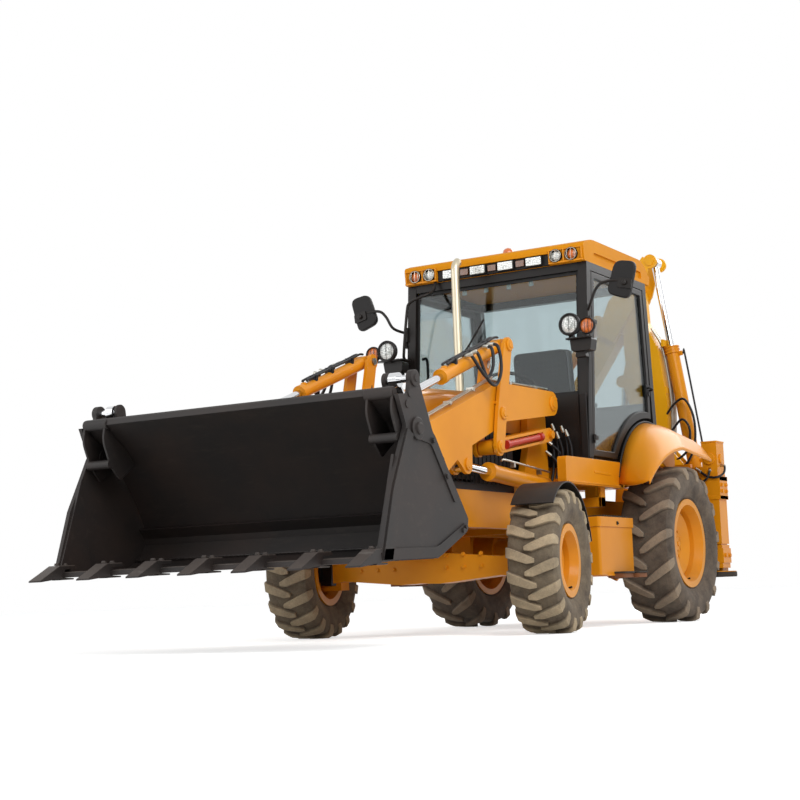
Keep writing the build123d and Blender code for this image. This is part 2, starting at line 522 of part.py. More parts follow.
cab += box(-CAB_HALF, CAB_HALF, CAB_FRONT_TOP, CAB_FRONT_TOP + 60, CAB_ROOF_Z - 60, CAB_ROOF_Z)
cab += box(-CAB_HALF, CAB_HALF, CAB_REAR_TOP - 60, CAB_REAR_TOP, CAB_ROOF_Z - 60, CAB_ROOF_Z)
dash_y = CAB_FRONT + POST
cab += box(-CAB_HALF + POST, CAB_HALF - POST, CAB_FRONT + 20, dash_y, CAB_SILL, 1660)
cab += box(-CAB_HALF + POST, CAB_HALF - POST, CAB_REAR - POST - 20, CAB_REAR - 40, CAB_SILL, 1700)
save("cab_frame", cab)


def leaning(y_base, y_top, z0, z1, thickness):
    """Outline of a pane that leans from y_base at the floor to y_top at the roof."""
    span = CAB_ROOF_Z - CAB_SILL
    a = y_base + (y_top - y_base) * (z0 - CAB_SILL) / span
    b = y_base + (y_top - y_base) * (z1 - CAB_SILL) / span
    return polygon((a, z0), (a + thickness, z0), (b + thickness, z1), (b, z1))


PANE_HALF = CAB_HALF - POST - SEAT_GAP
windshield = plate(LOADER, leaning(CAB_FRONT + 30, CAB_FRONT_TOP + 30, 1660 + SEAT_GAP, CAB_ROOF_Z - 60 - SEAT_GAP, GLASS_T), -PANE_HALF, PANE_HALF)
rear_glass = plate(LOADER, leaning(CAB_REAR - 60, CAB_REAR_TOP - 60, 1700 + SEAT_GAP, CAB_ROOF_Z - 60 - SEAT_GAP, GLASS_T), -PANE_HALF, PANE_HALF)
save("cab_glass", windshield, rear_glass)

ROOF_FRONT = 1190
roof_outline = [
    (ROOF_FRONT, CAB_ROOF_Z), (2420, CAB_ROOF_Z), (2440, 2700), (2300, CAB_ROOF_Z + ROOF_T), (1290, CAB_ROOF_Z + ROOF_T),
    (ROOF_FRONT, 2745),
]
roof_face = rounded(roof_outline, (0, 0, 20, 60, 60, 0))
roof = plate(LOADER, roof_face, -CAB_HALF, CAB_HALF)
roof = fillet(roof.edges().filter_by(Axis.Y).sort_by(Axis.Z)[-2:], 40)
save("cab_roof", roof)
lamp_bar = box(-CAB_HALF + 10, CAB_HALF - 10, ROOF_FRONT - 30, ROOF_FRONT - SEAT_GAP, CAB_ROOF_Z + 5, CAB_ROOF_Z + 95)

for side, name in ((1, "left"), (-1, "right")):
    door_face = polygon(
        (CAB_FRONT + POST + 10, DOOR_BOTTOM), (1530, DOOR_BOTTOM), (1690, 1400), (1850, 1520), (2300, 1600),
        (2300, 1900), (CAB_REAR_TOP - POST - 8, CAB_ROOF_Z - 66), (CAB_FRONT_TOP + POST + 4, CAB_ROOF_Z - 66)
    )
    window = polygon(
        (CAB_FRONT + POST + 66, DOOR_BOTTOM + 60), (1500, DOOR_BOTTOM + 60), (1645, 1445), (1825, 1580), (2240, 1655),
        (2240, 1900), (CAB_REAR_TOP - POST - 66, CAB_ROOF_Z - 126), (CAB_FRONT_TOP + POST + 56, CAB_ROOF_Z - 126)
    )
    door = plate(LOADER, door_face, CAB_HALF - DOOR_T, CAB_HALF) - plate(LOADER, window, CAB_HALF - DOOR_T - 1, CAB_HALF + 1)
    for z in DOOR_HINGES:
        strap = Solid.make_cylinder(HINGE_R + 6, 34, Plane((*HINGE_AT, z)))
        strap += box(HINGE_AT[0] - 6, HINGE_AT[0] + 4, HINGE_AT[1], door_edge(z) + 50, z, z + 34)
        strap += box(CAB_HALF - 1, HINGE_AT[0], door_edge(z) + 12, door_edge(z) + 50, z, z + 34)
        strap -= Solid.make_cylinder(HINGE_R + PIN_GAP, 60, Plane((*HINGE_AT, z - 10)))
        door += strap
    pane_face = offset(window, -SEAT_GAP)
    pane = plate(LOADER, pane_face, CAB_HALF - 20, CAB_HALF - 20 + GLASS_T)
    if side < 0:
        door = mirror(door, about=Plane.YZ)
        pane = mirror(pane, about=Plane.YZ)
    save("door_" + name, door)
    save("door_glass_" + name, pane)

# Seat, steering column and consoles inside the cab
FLOOR_TOP = CAB_SILL + 4 + SEAT_GAP
seat = box(-200, 200, 1650, 1960, FLOOR_TOP, FLOOR_TOP + 250)
seat += box(-250, 250, 1580, 2050, FLOOR_TOP + 250, FLOOR_TOP + 370)
seat += box(-240, 240, 1990, 2090, FLOOR_TOP + 370, FLOOR_TOP + 960)
column = box(-70, 70, 1260, 1360, FLOOR_TOP, FLOOR_TOP + 500)
wheel_plane = Plane((0, 1410, FLOOR_TOP + 620), z_dir=(0, 0.42, 0.91))
column += Solid.make_cylinder(22, 180, Plane((0, 1410 - 0.42 * 178, FLOOR_TOP + 620 - 0.91 * 178), z_dir=(0, 0.42, 0.91)))
column += Pos(*wheel_plane.origin) * Rot(-24.8, 0, 0) * Torus(180, 14)
column += Pos(*wheel_plane.origin) * Rot(-24.8, 0, 0) * Box(370, 36, 14)
console = box(-420, -300, 1500, 2200, FLOOR_TOP, FLOOR_TOP + 330)
save("cab_interior", seat, column, console)

# Fenders over the rear wheels with the sills ahead of them
FENDER_T = 12
FENDER_OUT = 1060
def fender_section(points, x):
    """One end of the fender's loft: a band of even thickness between two bent lines."""
    a, b, c, d = points
    upper = [ThreePointArc(a, b, c), Line(c, d)]
    low = [(p[0] + q[0], p[1] + q[1]) for p, q in zip(points, ((FENDER_T, 0), (FENDER_T * 0.6, -FENDER_T), (0, -FENDER_T), (0, -FENDER_T)))]
    lower = [ThreePointArc(low[0], low[1], low[2]), Line(low[2], low[3])]
    face = make_face(upper + lower + [Line(a, low[0]), Line(d, low[3])])
    return Plane.YZ.offset(x) * face


FENDER_INNER = ((1430, 1010), (1790, 1450), (2300, 1555), (2735, 1430))
FENDER_OUTER = ((1640, 1110), (1930, 1305), (2290, 1350), (2735, 1262))
fender = loft([fender_section(FENDER_INNER, CAB_HALF + MOVE_GAP), fender_section(FENDER_OUTER, FENDER_OUT)])
top_edge = [ThreePointArc(*FENDER_INNER[:3]), Line(FENDER_INNER[2], FENDER_INNER[3])]
low_edge = [Line(FENDER_INNER[0], (1640, 990)), ThreePointArc((1640, 990), (2200, 1262), (2735, 1100)), Line((2735, 1100), FENDER_INNER[3])]
inner_wall = plate(LOADER, make_face(top_edge + low_edge), CAB_HALF + 2, CAB_HALF + MOVE_GAP + 2)
wing = fender + inner_wall
sill_face = polygon((640, 1180), (1060, 1190), (1450, 1190), (1450, 1000), (640, 1000))
wing += plate(LOADER, sill_face, CAB_HALF - 60, CAB_HALF + MOVE_GAP + 2)
wing -= box(CAB_HALF - 70, CAB_HALF - 30, 1060, 1460, 1186, 1260)
wing += box(RAIL_OUT + SEAT_GAP, CAB_HALF - 40, 1340, 1420, 860, 930) + box(CAB_HALF - 60, CAB_HALF - 40, 1340, 1420, 860, 1001)
save("rear_fenders", *both_sides(wing))

# Side tank with steps on the left, fuel tank on the right
TANK_OUT = 880
tank = box(RAIL_OUT + SEAT_GAP, TANK_OUT, 880, 1490, 365, 760)
tank += box(TANK_OUT - 1, TANK_OUT + 110, 1150, 1480, 365, 400)
tank += box(RAIL_OUT + SEAT_GAP, RAIL_OUT + 40, 900, 980, 700, 800)
save("side_tanks", *both_sides(tank))

# Rear frame between the wheels, with the tubes that the stabiliser legs slide in
BACK_Y0 = FRAME_REAR
BACK_Y1 = 2950
LEG_IN = 935
LEG_OUT = 1060
LEG_Y0 = 2885
LEG_Y1 = 3060
LEG_TOP = 1405
LEG_BOTTOM = 590
LEG_WALL = 12
RAIL_LOW = (570, 700)
RAIL_HIGH = (1080, 1210)
back = box(-630, 630, BACK_Y0, BACK_Y1, *RAIL_LOW) + box(-630, 630, BACK_Y0, BACK_Y1, *RAIL_HIGH)
for x0 in (-470, 390):
    back += box(x0, x0 + 80, BACK_Y0, BACK_Y1, RAIL_LOW[0], RAIL_HIGH[1])
bracket = box(620, LEG_IN + 1, LEG_Y0, BACK_Y1, 600, RAIL_LOW[1]) + box(620, LEG_IN + 1, LEG_Y0, BACK_Y1, RAIL_HIGH[0], RAIL_HIGH[1])
bracket += box(620, 680, LEG_Y0, BACK_Y1, 600, RAIL_HIGH[1])
socket = box(LEG_IN, LEG_OUT, LEG_Y0, LEG_Y1, LEG_BOTTOM, LEG_TOP)
socket += box(LEG_IN - 14, LEG_OUT + 14, LEG_Y0 - 5, LEG_Y1 + 0, 945, 1126)
socket -= box(LEG_IN + LEG_WALL, LEG_OUT - LEG_WALL, LEG_Y0 + LEG_WALL, LEG_Y1 - LEG_WALL, 500, LEG_TOP - 15)
for piece in both_sides(bracket + socket):
    back += piece
save("rear_frame", back)
LEG_MID = ((LEG_IN + LEG_OUT) / 2, (LEG_Y0 + LEG_Y1) / 2)
for side, name in ((1, "left"), (-1, "right")):
    wall = LEG_WALL + SLIDE_GAP
    leg = box(LEG_IN + wall, LEG_OUT - wall, LEG_Y0 + wall, LEG_Y1 - wall, 400, LEG_TOP - 70)
    leg += box(LEG_IN, LEG_OUT, LEG_Y0, LEG_Y1, 400, LEG_BOTTOM - 8)
    leg += Solid.make_cylinder(132, 45, Plane((*LEG_MID, 330)))
    leg += box(LEG_IN + 20, LEG_OUT - 20, LEG_Y0 + 40, LEG_Y1, 370, 405)
    if side < 0:
        leg = mirror(leg, about=Plane.YZ)
    save("stabiliser_" + name, leg)

# Side-shift carriage hooked on the rear frame's two rails, and the king post
CARRIAGE_HALF = 250
carriage = box(KING_X - CARRIAGE_HALF, KING_X + CARRIAGE_HALF, BACK_Y1 + SLIDE_GAP, BACK_Y1 + 45, RAIL_LOW[0] - 40, RAIL_HIGH[1] + 35)
carriage += box(KING_X - CARRIAGE_HALF, 628, LEG_Y0, BACK_Y1 + 40, RAIL_HIGH[1] + SLIDE_GAP, RAIL_HIGH[1] + 35)
carriage += box(KING_X - CARRIAGE_HALF, 628, LEG_Y0, BACK_Y1 + 40, RAIL_LOW[0] - 40, RAIL_LOW[0] - SLIDE_GAP)
POST_Z0 = 630
POST_Z1 = 950
for z0, z1 in ((POST_Z0 - 70, POST_Z0 - 10), (POST_Z1 + 10, POST_Z1 + 70)):
    arm_plate = box(KING_X - 95, KING_X + 95, BACK_Y1 + 30, KING_Y, z0, z1)
    arm_plate += Solid.make_cylinder(95, z1 - z0, Plane((KING_X, KING_Y, z0)))
    carriage += arm_plate
carriage += Solid.make_cylinder(40, POST_Z1 - POST_Z0 + 180, Plane((KING_X, KING_Y, POST_Z0 - 90)))
save("side_shift_carriage", carriage)

post = Solid.make_cylinder(95, POST_Z1 - POST_Z0, Plane((KING_X, KING_Y, POST_Z0)))
cheek = polygon(
    (30, POST_Z0), (130, POST_Z0), (BOOM_FOOT[0], BOOM_FOOT[1] - 85), (BOOM_RAM_FOOT[0] - 20, 330), (BOOM_RAM_FOOT[0] + 60, 370),
    (BOOM_RAM_FOOT[0] + 50, 480), (BOOM_FOOT[0] + 80, 760), (110, POST_Z1), (30, POST_Z1)
)
for w0 in (-BOOM_HALF - 10 - 30, BOOM_HALF + 10):
    post += plate(HOE, cheek, w0, w0 + 30)
post += box(KING_X - 90, KING_X - 10, KING_Y - 105, KING_Y + 105, POST_Z0, POST_Z1)
post += disc(HOE, BOOM_FOOT, 32, -BOOM_HALF - 50, BOOM_HALF + 50)
post += disc(HOE, BOOM_RAM_FOOT, 28, -BOOM_HALF - 50, BOOM_HALF + 50)
post -= Solid.make_cylinder(40 + PIN_GAP, POST_Z1 - POST_Z0 + 20, Plane((KING_X, KING_Y, POST_Z0 - 10)))
save("king_post", post)

# Boom, dipper and their rams
boom_outline = [
    (230, 600), (130, 1000), (30, 1350), (15, 1810), (70, 2253), (190, 2500), (200, 2740), (340, 2740), (370, 2550),
    (370, 2250), (345, 1850), (360, 1300), (326, 1090), (326, 930), (378, 700), (340, 590),
]
boom_face = rounded(boom_outline, (0, 200, 300, 300, 200, 60, 40, 40, 60, 200, 300, 200, 100, 100, 0, 0)) + Pos(*BOOM_FOOT) * Circle(80) + Pos(*BOOM_TIP) * Circle(75)
boom = plate(HOE, boom_face, -BOOM_HALF, BOOM_HALF)
boom -= plate(HOE, polygon((208, 945), (420, 945), (420, 2090), (208, 2090)), -BOOM_WELL, BOOM_WELL)
foot_ear = polygon((80, 1080), DIPPER_RAM_FOOT, (30, 1420)) + Pos(*DIPPER_RAM_FOOT) * Circle(52)
eye_ear = polygon((350, 1800), BOOM_RAM_EYE, (360, 2180)) + Pos(*BOOM_RAM_EYE) * Circle(50)
for face, pin in ((foot_ear, DIPPER_RAM_FOOT), (eye_ear, BOOM_RAM_EYE)):
    boom += plate(HOE, face, -BOOM_HALF + 4, -BOOM_WELL) + plate(HOE, face, BOOM_WELL, BOOM_HALF - 4)
    if pin == DIPPER_RAM_FOOT:
        boom += disc(HOE, pin, 26, -BOOM_HALF + 4, BOOM_HALF - 4)
boom -= disc(HOE, BOOM_FOOT, 32 + PIN_GAP, -BOOM_HALF - 1, BOOM_HALF + 1)
boom -= disc(HOE, BOOM_TIP, 30 + PIN_GAP, -BOOM_HALF - 1, BOOM_HALF + 1)
save("boom", boom)
boom_barrel, boom_rod = ram(HOE, BOOM_RAM_FOOT, BOOM_RAM_EYE, 0, RAM_R, RAM_ROD_R, 880, 28, 26, 50, 665,
                          (-BOOM_WELL, BOOM_WELL))
save("boom_ram_barrel", boom_barrel)
save("boom_ram_rod", boom_rod)

CHEEK_IN = BOOM_HALF + 10
CHEEK_OUT = CHEEK_IN + 22
dip = (BUCKET_PIN[0] - BOOM_TIP[0], BUCKET_PIN[1] - BOOM_TIP[1])
dip_len = math.hypot(*dip)
dip_u = (dip[0] / dip_len, dip[1] / dip_len)
dip_n = (dip_u[1] * -1, dip_u[0])


def on_dipper(along, across):
    """A point on the dipper, along from the boom's tip and across towards its outer side."""
    return (BOOM_TIP[0] + dip_u[0] * along + dip_n[0] * across, BOOM_TIP[1] + dip_u[1] * along + dip_n[1] * across)


head_face = polygon(DIPPER_TAIL, on_dipper(-60, -80), on_dipper(420, -60), on_dipper(420, 110), on_dipper(140, 160), (DIPPER_TAIL[0] + 60, DIPPER_TAIL[1] + 50))
head_face += Pos(*DIPPER_TAIL) * Circle(60)
head_face += Pos(*BOOM_TIP) * Circle(85)
dipper = plate(HOE, head_face, -CHEEK_OUT, -CHEEK_IN) + plate(HOE, head_face, CHEEK_IN, CHEEK_OUT)
body_face = polygon(on_dipper(330, -70), on_dipper(dip_len - 40, -50), on_dipper(dip_len, 60), on_dipper(dip_len * 0.6, 110), on_dipper(330, 120)) + Pos(*BUCKET_PIN) * Circle(60)
dipper += plate(HOE, body_face, -DIPPER_HALF, DIPPER_HALF)
for w0, w1 in ((-CHEEK_IN - 1, -DIPPER_HALF + 1), (DIPPER_HALF - 1, CHEEK_IN + 1)):
    dipper += plate(HOE, polygon(on_dipper(335, -50), on_dipper(410, -50), on_dipper(410, 100), on_dipper(335, 100)), w0, w1)
dipper += disc(HOE, BOOM_TIP, 30, -CHEEK_OUT - 8, CHEEK_OUT + 8)
for w0, w1 in ((-CHEEK_OUT - 8, -CHEEK_OUT), (CHEEK_OUT, CHEEK_OUT + 8)):
    dipper += disc(HOE, DIPPER_TAIL, 36, w0, w1)
BUCKET_RAM_FOOT = on_dipper(330, 190)
LEVER_FOOT = on_dipper(dip_len - 290, 60)
LEVER_EYE = on_dipper(dip_len - 200, 330)
foot_ear = polygon(on_dipper(300, 100), BUCKET_RAM_FOOT, on_dipper(480, 100)) + Pos(*BUCKET_RAM_FOOT) * Circle(46)
dipper += plate(HOE, foot_ear, -76, -58) + plate(HOE, foot_ear, 58, 76)
dipper += disc(HOE, BUCKET_RAM_FOOT, 24, -76, 76)
dipper -= disc(HOE, BUCKET_PIN, 28 + PIN_GAP, -DIPPER_HALF - 1, DIPPER_HALF + 1)
dipper -= disc(HOE, LEVER_FOOT, 26 + PIN_GAP, -DIPPER_HALF - 1, DIPPER_HALF + 1)
save("dipper", dipper)
dipper_barrel, dipper_rod = ram(HOE, DIPPER_RAM_FOOT, DIPPER_TAIL, 0, RAM_R, RAM_ROD_R, 1100, 26, 26, 46, 560,
                              (-CHEEK_IN, CHEEK_IN))
save("dipper_ram_barrel", dipper_barrel)
save("dipper_ram_rod", dipper_rod)

# Backhoe bucket with its tipping lever, link and ram
BUCKET_LINK_PIN = on_dipper(dip_len + 150, 190)
lever_w = DIPPER_HALF + 8
EAR_IN = lever_w + 24
tip_lever = bar(HOE, LEVER_FOOT, LEVER_EYE, 46, 42, lever_w, lever_w + 20) + bar(HOE, LEVER_FOOT, LEVER_EYE, 46, 42, -lever_w - 20, -lever_w)
tip_lever += disc(HOE, LEVER_FOOT, 26, -lever_w - 20, lever_w + 20)
for w0, w1 in ((-lever_w - 20, -56), (56, lever_w + 20)):
    tip_lever += disc(HOE, LEVER_EYE, 24, w0, w1)
save("tipping_lever", tip_lever)
tip_link = bar(HOE, LEVER_EYE, BUCKET_LINK_PIN, 42, 42, 56, 76) + bar(HOE, LEVER_EYE, BUCKET_LINK_PIN, 42, 42, -76, -56)
mid_link = ((LEVER_EYE[0] + BUCKET_LINK_PIN[0]) / 2, (LEVER_EYE[1] + BUCKET_LINK_PIN[1]) / 2)
tip_link += disc(HOE, mid_link, 20, -60, 60)
tip_link -= disc(HOE, LEVER_EYE, 24 + PIN_GAP, -80, 80)
tip_link += disc(HOE, BUCKET_LINK_PIN, 24, SLIDE_GAP - EAR_IN, EAR_IN - SLIDE_GAP)
save("bucket_link", tip_link)
bucket_barrel, bucket_rod = ram(HOE, BUCKET_RAM_FOOT, LEVER_EYE, 0, 46, 26, 560, 24, 24, 40, 380, (-56, 56))
save("bucket_ram_barrel", bucket_barrel)
save("bucket_ram_rod", bucket_rod)

TIP_TURN = math.radians(250)
tip_u = (math.cos(TIP_TURN), math.sin(TIP_TURN))
tip_n = (-tip_u[1], tip_u[0])


def on_bucket(along, across):
    """A point on the backhoe bucket, along from its pin to the tip, across to its back."""
    return (BUCKET_PIN[0] + tip_u[0] * along + tip_n[0] * across, BUCKET_PIN[1] + tip_u[1] * along + tip_n[1] * across)


outer = [on_bucket(20, 150), on_bucket(80, 330), on_bucket(560, 430), on_bucket(880, 120)]
back_line = ThreePointArc(outer[1], on_bucket(330, 440), outer[2])
back_face = make_face([Line(outer[0], outer[1]), back_line, Line(outer[2], outer[3]), Line(outer[3], on_bucket(800, 20)), Line(on_bucket(800, 20), on_bucket(90, 40)), Line(on_bucket(90, 40), outer[0])])
bucket = plate(HOE, back_face, -HOE_BUCKET_HALF, HOE_BUCKET_HALF)
hollow_points = [on_bucket(40, 140), on_bucket(100, 300), on_bucket(550, 405), on_bucket(860, 110), on_bucket(900, -40), on_bucket(70, -40)]
hollow_arc = ThreePointArc(hollow_points[1], on_bucket(330, 418), hollow_points[2])
hollow = make_face([Line(hollow_points[0], hollow_points[1]), hollow_arc, Line(hollow_points[2], hollow_points[3]), Line(hollow_points[3], hollow_points[4]), Line(hollow_points[4], hollow_points[5]), Line(hollow_points[5], hollow_points[0])])
bucket -= plate(HOE, hollow, -HOE_BUCKET_HALF + 18, HOE_BUCKET_HALF - 18)
ear_face = polygon(on_bucket(-50, -40), BUCKET_LINK_PIN, on_bucket(60, 300), on_bucket(110, 100), on_bucket(60, -40))
ear_face += Pos(*BUCKET_PIN) * Circle(60)
ear_face += Pos(*BUCKET_LINK_PIN) * Circle(46)
for w0 in (-EAR_IN - 24, EAR_IN):
    bucket += plate(HOE, ear_face, w0, w0 + 24)
bucket -= plate(HOE, Pos(*BUCKET_PIN) * Circle(75), -EAR_IN, EAR_IN)
bucket += disc(HOE, BUCKET_PIN, 28, -EAR_IN - 30, EAR_IN + 30)
for w0, w1 in ((-EAR_IN - 32, -EAR_IN - 24), (EAR_IN + 24, EAR_IN + 32)):
    bucket += disc(HOE, BUCKET_LINK_PIN, 32, w0, w1)
HOE_TEETH = 5
for number in range(HOE_TEETH):
    w = -HOE_BUCKET_HALF + number * (2 * HOE_BUCKET_HALF - 60) / (HOE_TEETH - 1)
    tooth = polygon(on_bucket(850, 150), on_bucket(960, 40), on_bucket(965, 30), on_bucket(830, 100))
    bucket += plate(HOE, tooth, w, w + 60)
save("hoe_bucket", bucket)

# Headlamps with turn lamps on brackets off the front posts, and mirrors on arms
front_lamps = []
for side in (1, -1):
    lamp = box(CAB_HALF, CAB_HALF + 26, 930, 1190, 2036, 2062) + box(CAB_HALF - 90, CAB_HALF + 110, 930, 1000, 2036, 2062)
    lamp += Solid.make_cylinder(75, 70, Plane((CAB_HALF - 35, 990, 2140), z_dir=(0, -1, 0)))
    lamp += Solid.make_cylinder(48, 60, Plane((CAB_HALF + 85, 990, 2112), z_dir=(0, -1, 0)))
    lamp += box(CAB_HALF - 55, CAB_HALF - 15, 940, 985, 2055, 2080) + box(CAB_HALF + 65, CAB_HALF + 95, 940, 985, 2055, 2080)
    front_lamps.append(lamp if side > 0 else mirror(lamp, about=Plane.YZ))
save("lamps", lamp_bar, *front_lamps)
mirror_arm = Solid.make_cylinder(12, 300, Plane((CAB_HALF + 4, 1150, 2300), z_dir=(1, -0.35, 0.3)))
mirror_arm += box(CAB_HALF, CAB_HALF + 26, 1130, 1200, 2265, 2335)
mirror_arm += box(1000, 1180, 1010, 1050, 2250, 2610)
save("mirrors", *both_sides(mirror_arm))
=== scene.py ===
# %% [markdown]
# # A backhoe loader
# The machine stands parked with its clam bucket held low and its digging arm folded
# behind the cab. The solids come from the CAD model as a fixed frame. This file gives
# each of them its real finish, and adds what a CAD model leaves out: tyre lugs, hoses,
# lenses, bolts, cushions and trim.

# %% Load the frame
import json
import math

import bmesh
import bpy
from mathutils import Matrix, Vector


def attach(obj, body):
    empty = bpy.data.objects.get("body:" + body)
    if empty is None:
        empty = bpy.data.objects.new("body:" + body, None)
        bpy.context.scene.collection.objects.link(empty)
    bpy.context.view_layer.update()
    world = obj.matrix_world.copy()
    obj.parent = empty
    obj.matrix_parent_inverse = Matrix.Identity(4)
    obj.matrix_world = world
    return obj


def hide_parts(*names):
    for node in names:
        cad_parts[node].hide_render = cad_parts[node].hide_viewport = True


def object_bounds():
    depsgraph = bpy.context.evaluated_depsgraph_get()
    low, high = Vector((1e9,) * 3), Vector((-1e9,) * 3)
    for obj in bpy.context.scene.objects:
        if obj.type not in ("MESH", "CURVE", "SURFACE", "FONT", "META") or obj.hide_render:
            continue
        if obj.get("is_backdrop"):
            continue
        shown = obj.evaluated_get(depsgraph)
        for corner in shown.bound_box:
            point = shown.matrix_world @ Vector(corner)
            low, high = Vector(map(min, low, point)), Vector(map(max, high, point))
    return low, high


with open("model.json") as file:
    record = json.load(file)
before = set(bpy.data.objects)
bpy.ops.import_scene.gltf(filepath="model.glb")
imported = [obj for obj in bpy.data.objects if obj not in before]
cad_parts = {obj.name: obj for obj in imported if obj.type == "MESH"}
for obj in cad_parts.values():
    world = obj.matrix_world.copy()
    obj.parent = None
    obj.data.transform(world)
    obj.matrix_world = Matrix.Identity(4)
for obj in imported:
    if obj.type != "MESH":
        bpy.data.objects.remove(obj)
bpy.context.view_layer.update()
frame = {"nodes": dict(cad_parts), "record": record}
nodes = frame["nodes"]

# %% [markdown]
# ## Camera
# The photograph was taken from near the ground, ahead of the machine and to its left,
# with the camera tipped up a little and rolled by two degrees. A pinhole camera is
# solved from the wheels, and its place is written down here in metres.

# %% Place the camera
AZIMUTH = math.radians(30.283)
ELEVATION = math.radians(-7.001)
ROLL = math.radians(-2.093)
FRAME_SHIFT = -0.43
CAMERA_AT = Vector((5.2422, -9.2494 + FRAME_SHIFT, 0.2846))
FOCAL_PIXELS = 1581.74
PHOTO_PIXELS = 800
SENSOR_MM = 36

back = Vector((
    math.sin(AZIMUTH) * math.cos(ELEVATION),
    -math.cos(AZIMUTH) * math.cos(ELEVATION),
    math.sin(ELEVATION),
))
right = Vector((math.cos(AZIMUTH), math.sin(AZIMUTH), 0))
up = back.cross(right)
rolled_right = math.cos(ROLL) * right + math.sin(ROLL) * up
rolled_up = -math.sin(ROLL) * right + math.cos(ROLL) * up
camera_data = bpy.data.cameras.new("photo_camera")
camera_data.sensor_width = SENSOR_MM
camera_data.lens = SENSOR_MM * FOCAL_PIXELS / PHOTO_PIXELS
camera = bpy.data.objects.new("photo_camera", camera_data)
turned_to_photo = Matrix((rolled_right, rolled_up, back)).transposed().to_4x4()
camera.matrix_world = Matrix.Translation(CAMERA_AT) @ turned_to_photo
bpy.context.scene.collection.objects.link(camera)
bpy.context.scene.camera = camera
print("camera lens", round(camera_data.lens, 2), "mm")

# %% [markdown]
# ## Colour and node helpers
# Colours are written as sRGB hex values, as a paint chart gives them, and turned to the
# linear values that Cycles works in. One small function adds a node with its settings
# and links, so that each material reads as a list of what it is made of.


# %% Helpers for colours and nodes
def colour(code):
    """Linear RGBA from an sRGB hex value."""
    parts = [int(code[i:i + 2], 16) / 255 for i in (1, 3, 5)]
    linear = [c / 12.92 if c <= 0.04045 else ((c + 0.055) / 1.055) ** 2.4 for c in parts]
    return (*linear, 1.0)


def add(tree, kind, inputs=None, stops=(), **settings):
    """Add one node. Settings are its properties; inputs are its values or links; stops are a colour
    ramp's (place, colour) pairs. A node given as an input is linked from its first output."""
    node = tree.nodes.new(kind)
    for name, value in settings.items():
        setattr(node, name, value)
    for socket, value in (inputs or {}).items():
        if isinstance(value, bpy.types.Node):
            value = value.outputs[0]
        if isinstance(value, bpy.types.NodeSocket):
            tree.links.new(value, node.inputs[socket])
        else:
            node.inputs[socket].default_value = value
    if stops:
        elements = node.color_ramp.elements
        while len(elements) < len(stops):
            elements.new(0.5)
        for element, (place, value) in zip(elements, stops):
            element.position = place
            element.color = value
    return node


def new_material(name):
    """An empty node material, its tree, and the coordinates that stay with the object."""
    material = bpy.data.materials.new(name)
    material.use_nodes = True
    tree = material.node_tree
    tree.nodes.clear()
    place = add(tree, "ShaderNodeTexCoord").outputs["Object"]
    return material, tree, place


print("mid grey is", round(colour("#808080")[0], 3), "in linear light")

# %% [markdown]
# ## Light, floor and backdrop
# A plain studio: one large soft lamp above and ahead to the left, a weaker one on the
# other side, and a pale world that fills the shadows. The floor is pale and matt, and
# the camera sees the backdrop as white.

# %% Light the studio
world = bpy.data.worlds.new("studio")
bpy.context.scene.world = world
world.use_nodes = True
sky = world.node_tree
sky.nodes.clear()
ray = add(sky, "ShaderNodeLightPath")
direct = add(sky, "ShaderNodeMath", {
    0: ray.outputs["Is Camera Ray"], 1: ray.outputs["Is Transmission Ray"],
}, operation="MAXIMUM")
seen = add(sky, "ShaderNodeMath", {0: direct, 1: ray.outputs["Is Glossy Ray"]}, operation="MAXIMUM")
fill = add(sky, "ShaderNodeBackground", {"Color": colour("#F4F7FA"), "Strength": 0.5})
backdrop = add(sky, "ShaderNodeBackground", {"Color": colour("#FFFFFF"), "Strength": 1.0})
shown = add(sky, "ShaderNodeMixShader", {0: seen, 1: fill, 2: backdrop})
add(sky, "ShaderNodeOutputWorld", {"Surface": shown})


def soft_lamp(name, at, aim, size, power):
    """A square area lamp that points from one place at another."""
    data = bpy.data.lights.new(name, "AREA")
    data.size = size
    data.energy = power
    lamp = bpy.data.objects.new(name, data)
    lamp.location = at
    lamp.rotation_euler = (Vector(aim) - Vector(at)).to_track_quat("-Z", "Y").to_euler()
    bpy.context.scene.collection.objects.link(lamp)


soft_lamp("key_light", (7.5, -6.0, 7.5), (0, 0, 1.0), 6.0, 800)
soft_lamp("fill_light", (-6.5, -8.0, 4.5), (0, -1.0, 1.0), 6.0, 200)
soft_lamp("rear_light", (2.0, 8.5, 6.5), (0, 1.0, 1.2), 5.0, 300)

FLOOR_HALF = 60
corners = [(x * FLOOR_HALF, y * FLOOR_HALF, 0) for x, y in ((-1, -1), (1, -1), (1, 1), (-1, 1))]
floor_mesh = bpy.data.meshes.new("floor")
floor_mesh.from_pydata(corners, [], [(0, 1, 2, 3)])
floor = bpy.data.objects.new("floor", floor_mesh)
bpy.context.scene.collection.objects.link(floor)
matt_floor, tree, _ = new_material("pale_matt_floor")
plain = add(tree, "ShaderNodeBsdfDiffuse", {"Color": colour("#F4F4F2"), "Roughness": 0.6})
lift = add(tree, "ShaderNodeEmission", {"Color": colour("#FFFFFF"), "Strength": 0.58})
sight = add(tree, "ShaderNodeLightPath")
looked = add(tree, "ShaderNodeMath", {
    0: sight.outputs["Is Camera Ray"], 1: sight.outputs["Is Glossy Ray"],
}, operation="MAXIMUM")
looked_through = add(tree, "ShaderNodeMath", {
    0: looked, 1: sight.outputs["Is Transmission Ray"],
}, operation="MAXIMUM")
dark = add(tree, "ShaderNodeBsdfTransparent", {"Color": colour("#000000")})
pale = add(tree, "ShaderNodeMixShader", {0: looked_through, 1: dark, 2: lift})
whole = add(tree, "ShaderNodeAddShader", {0: plain, 1: pale})
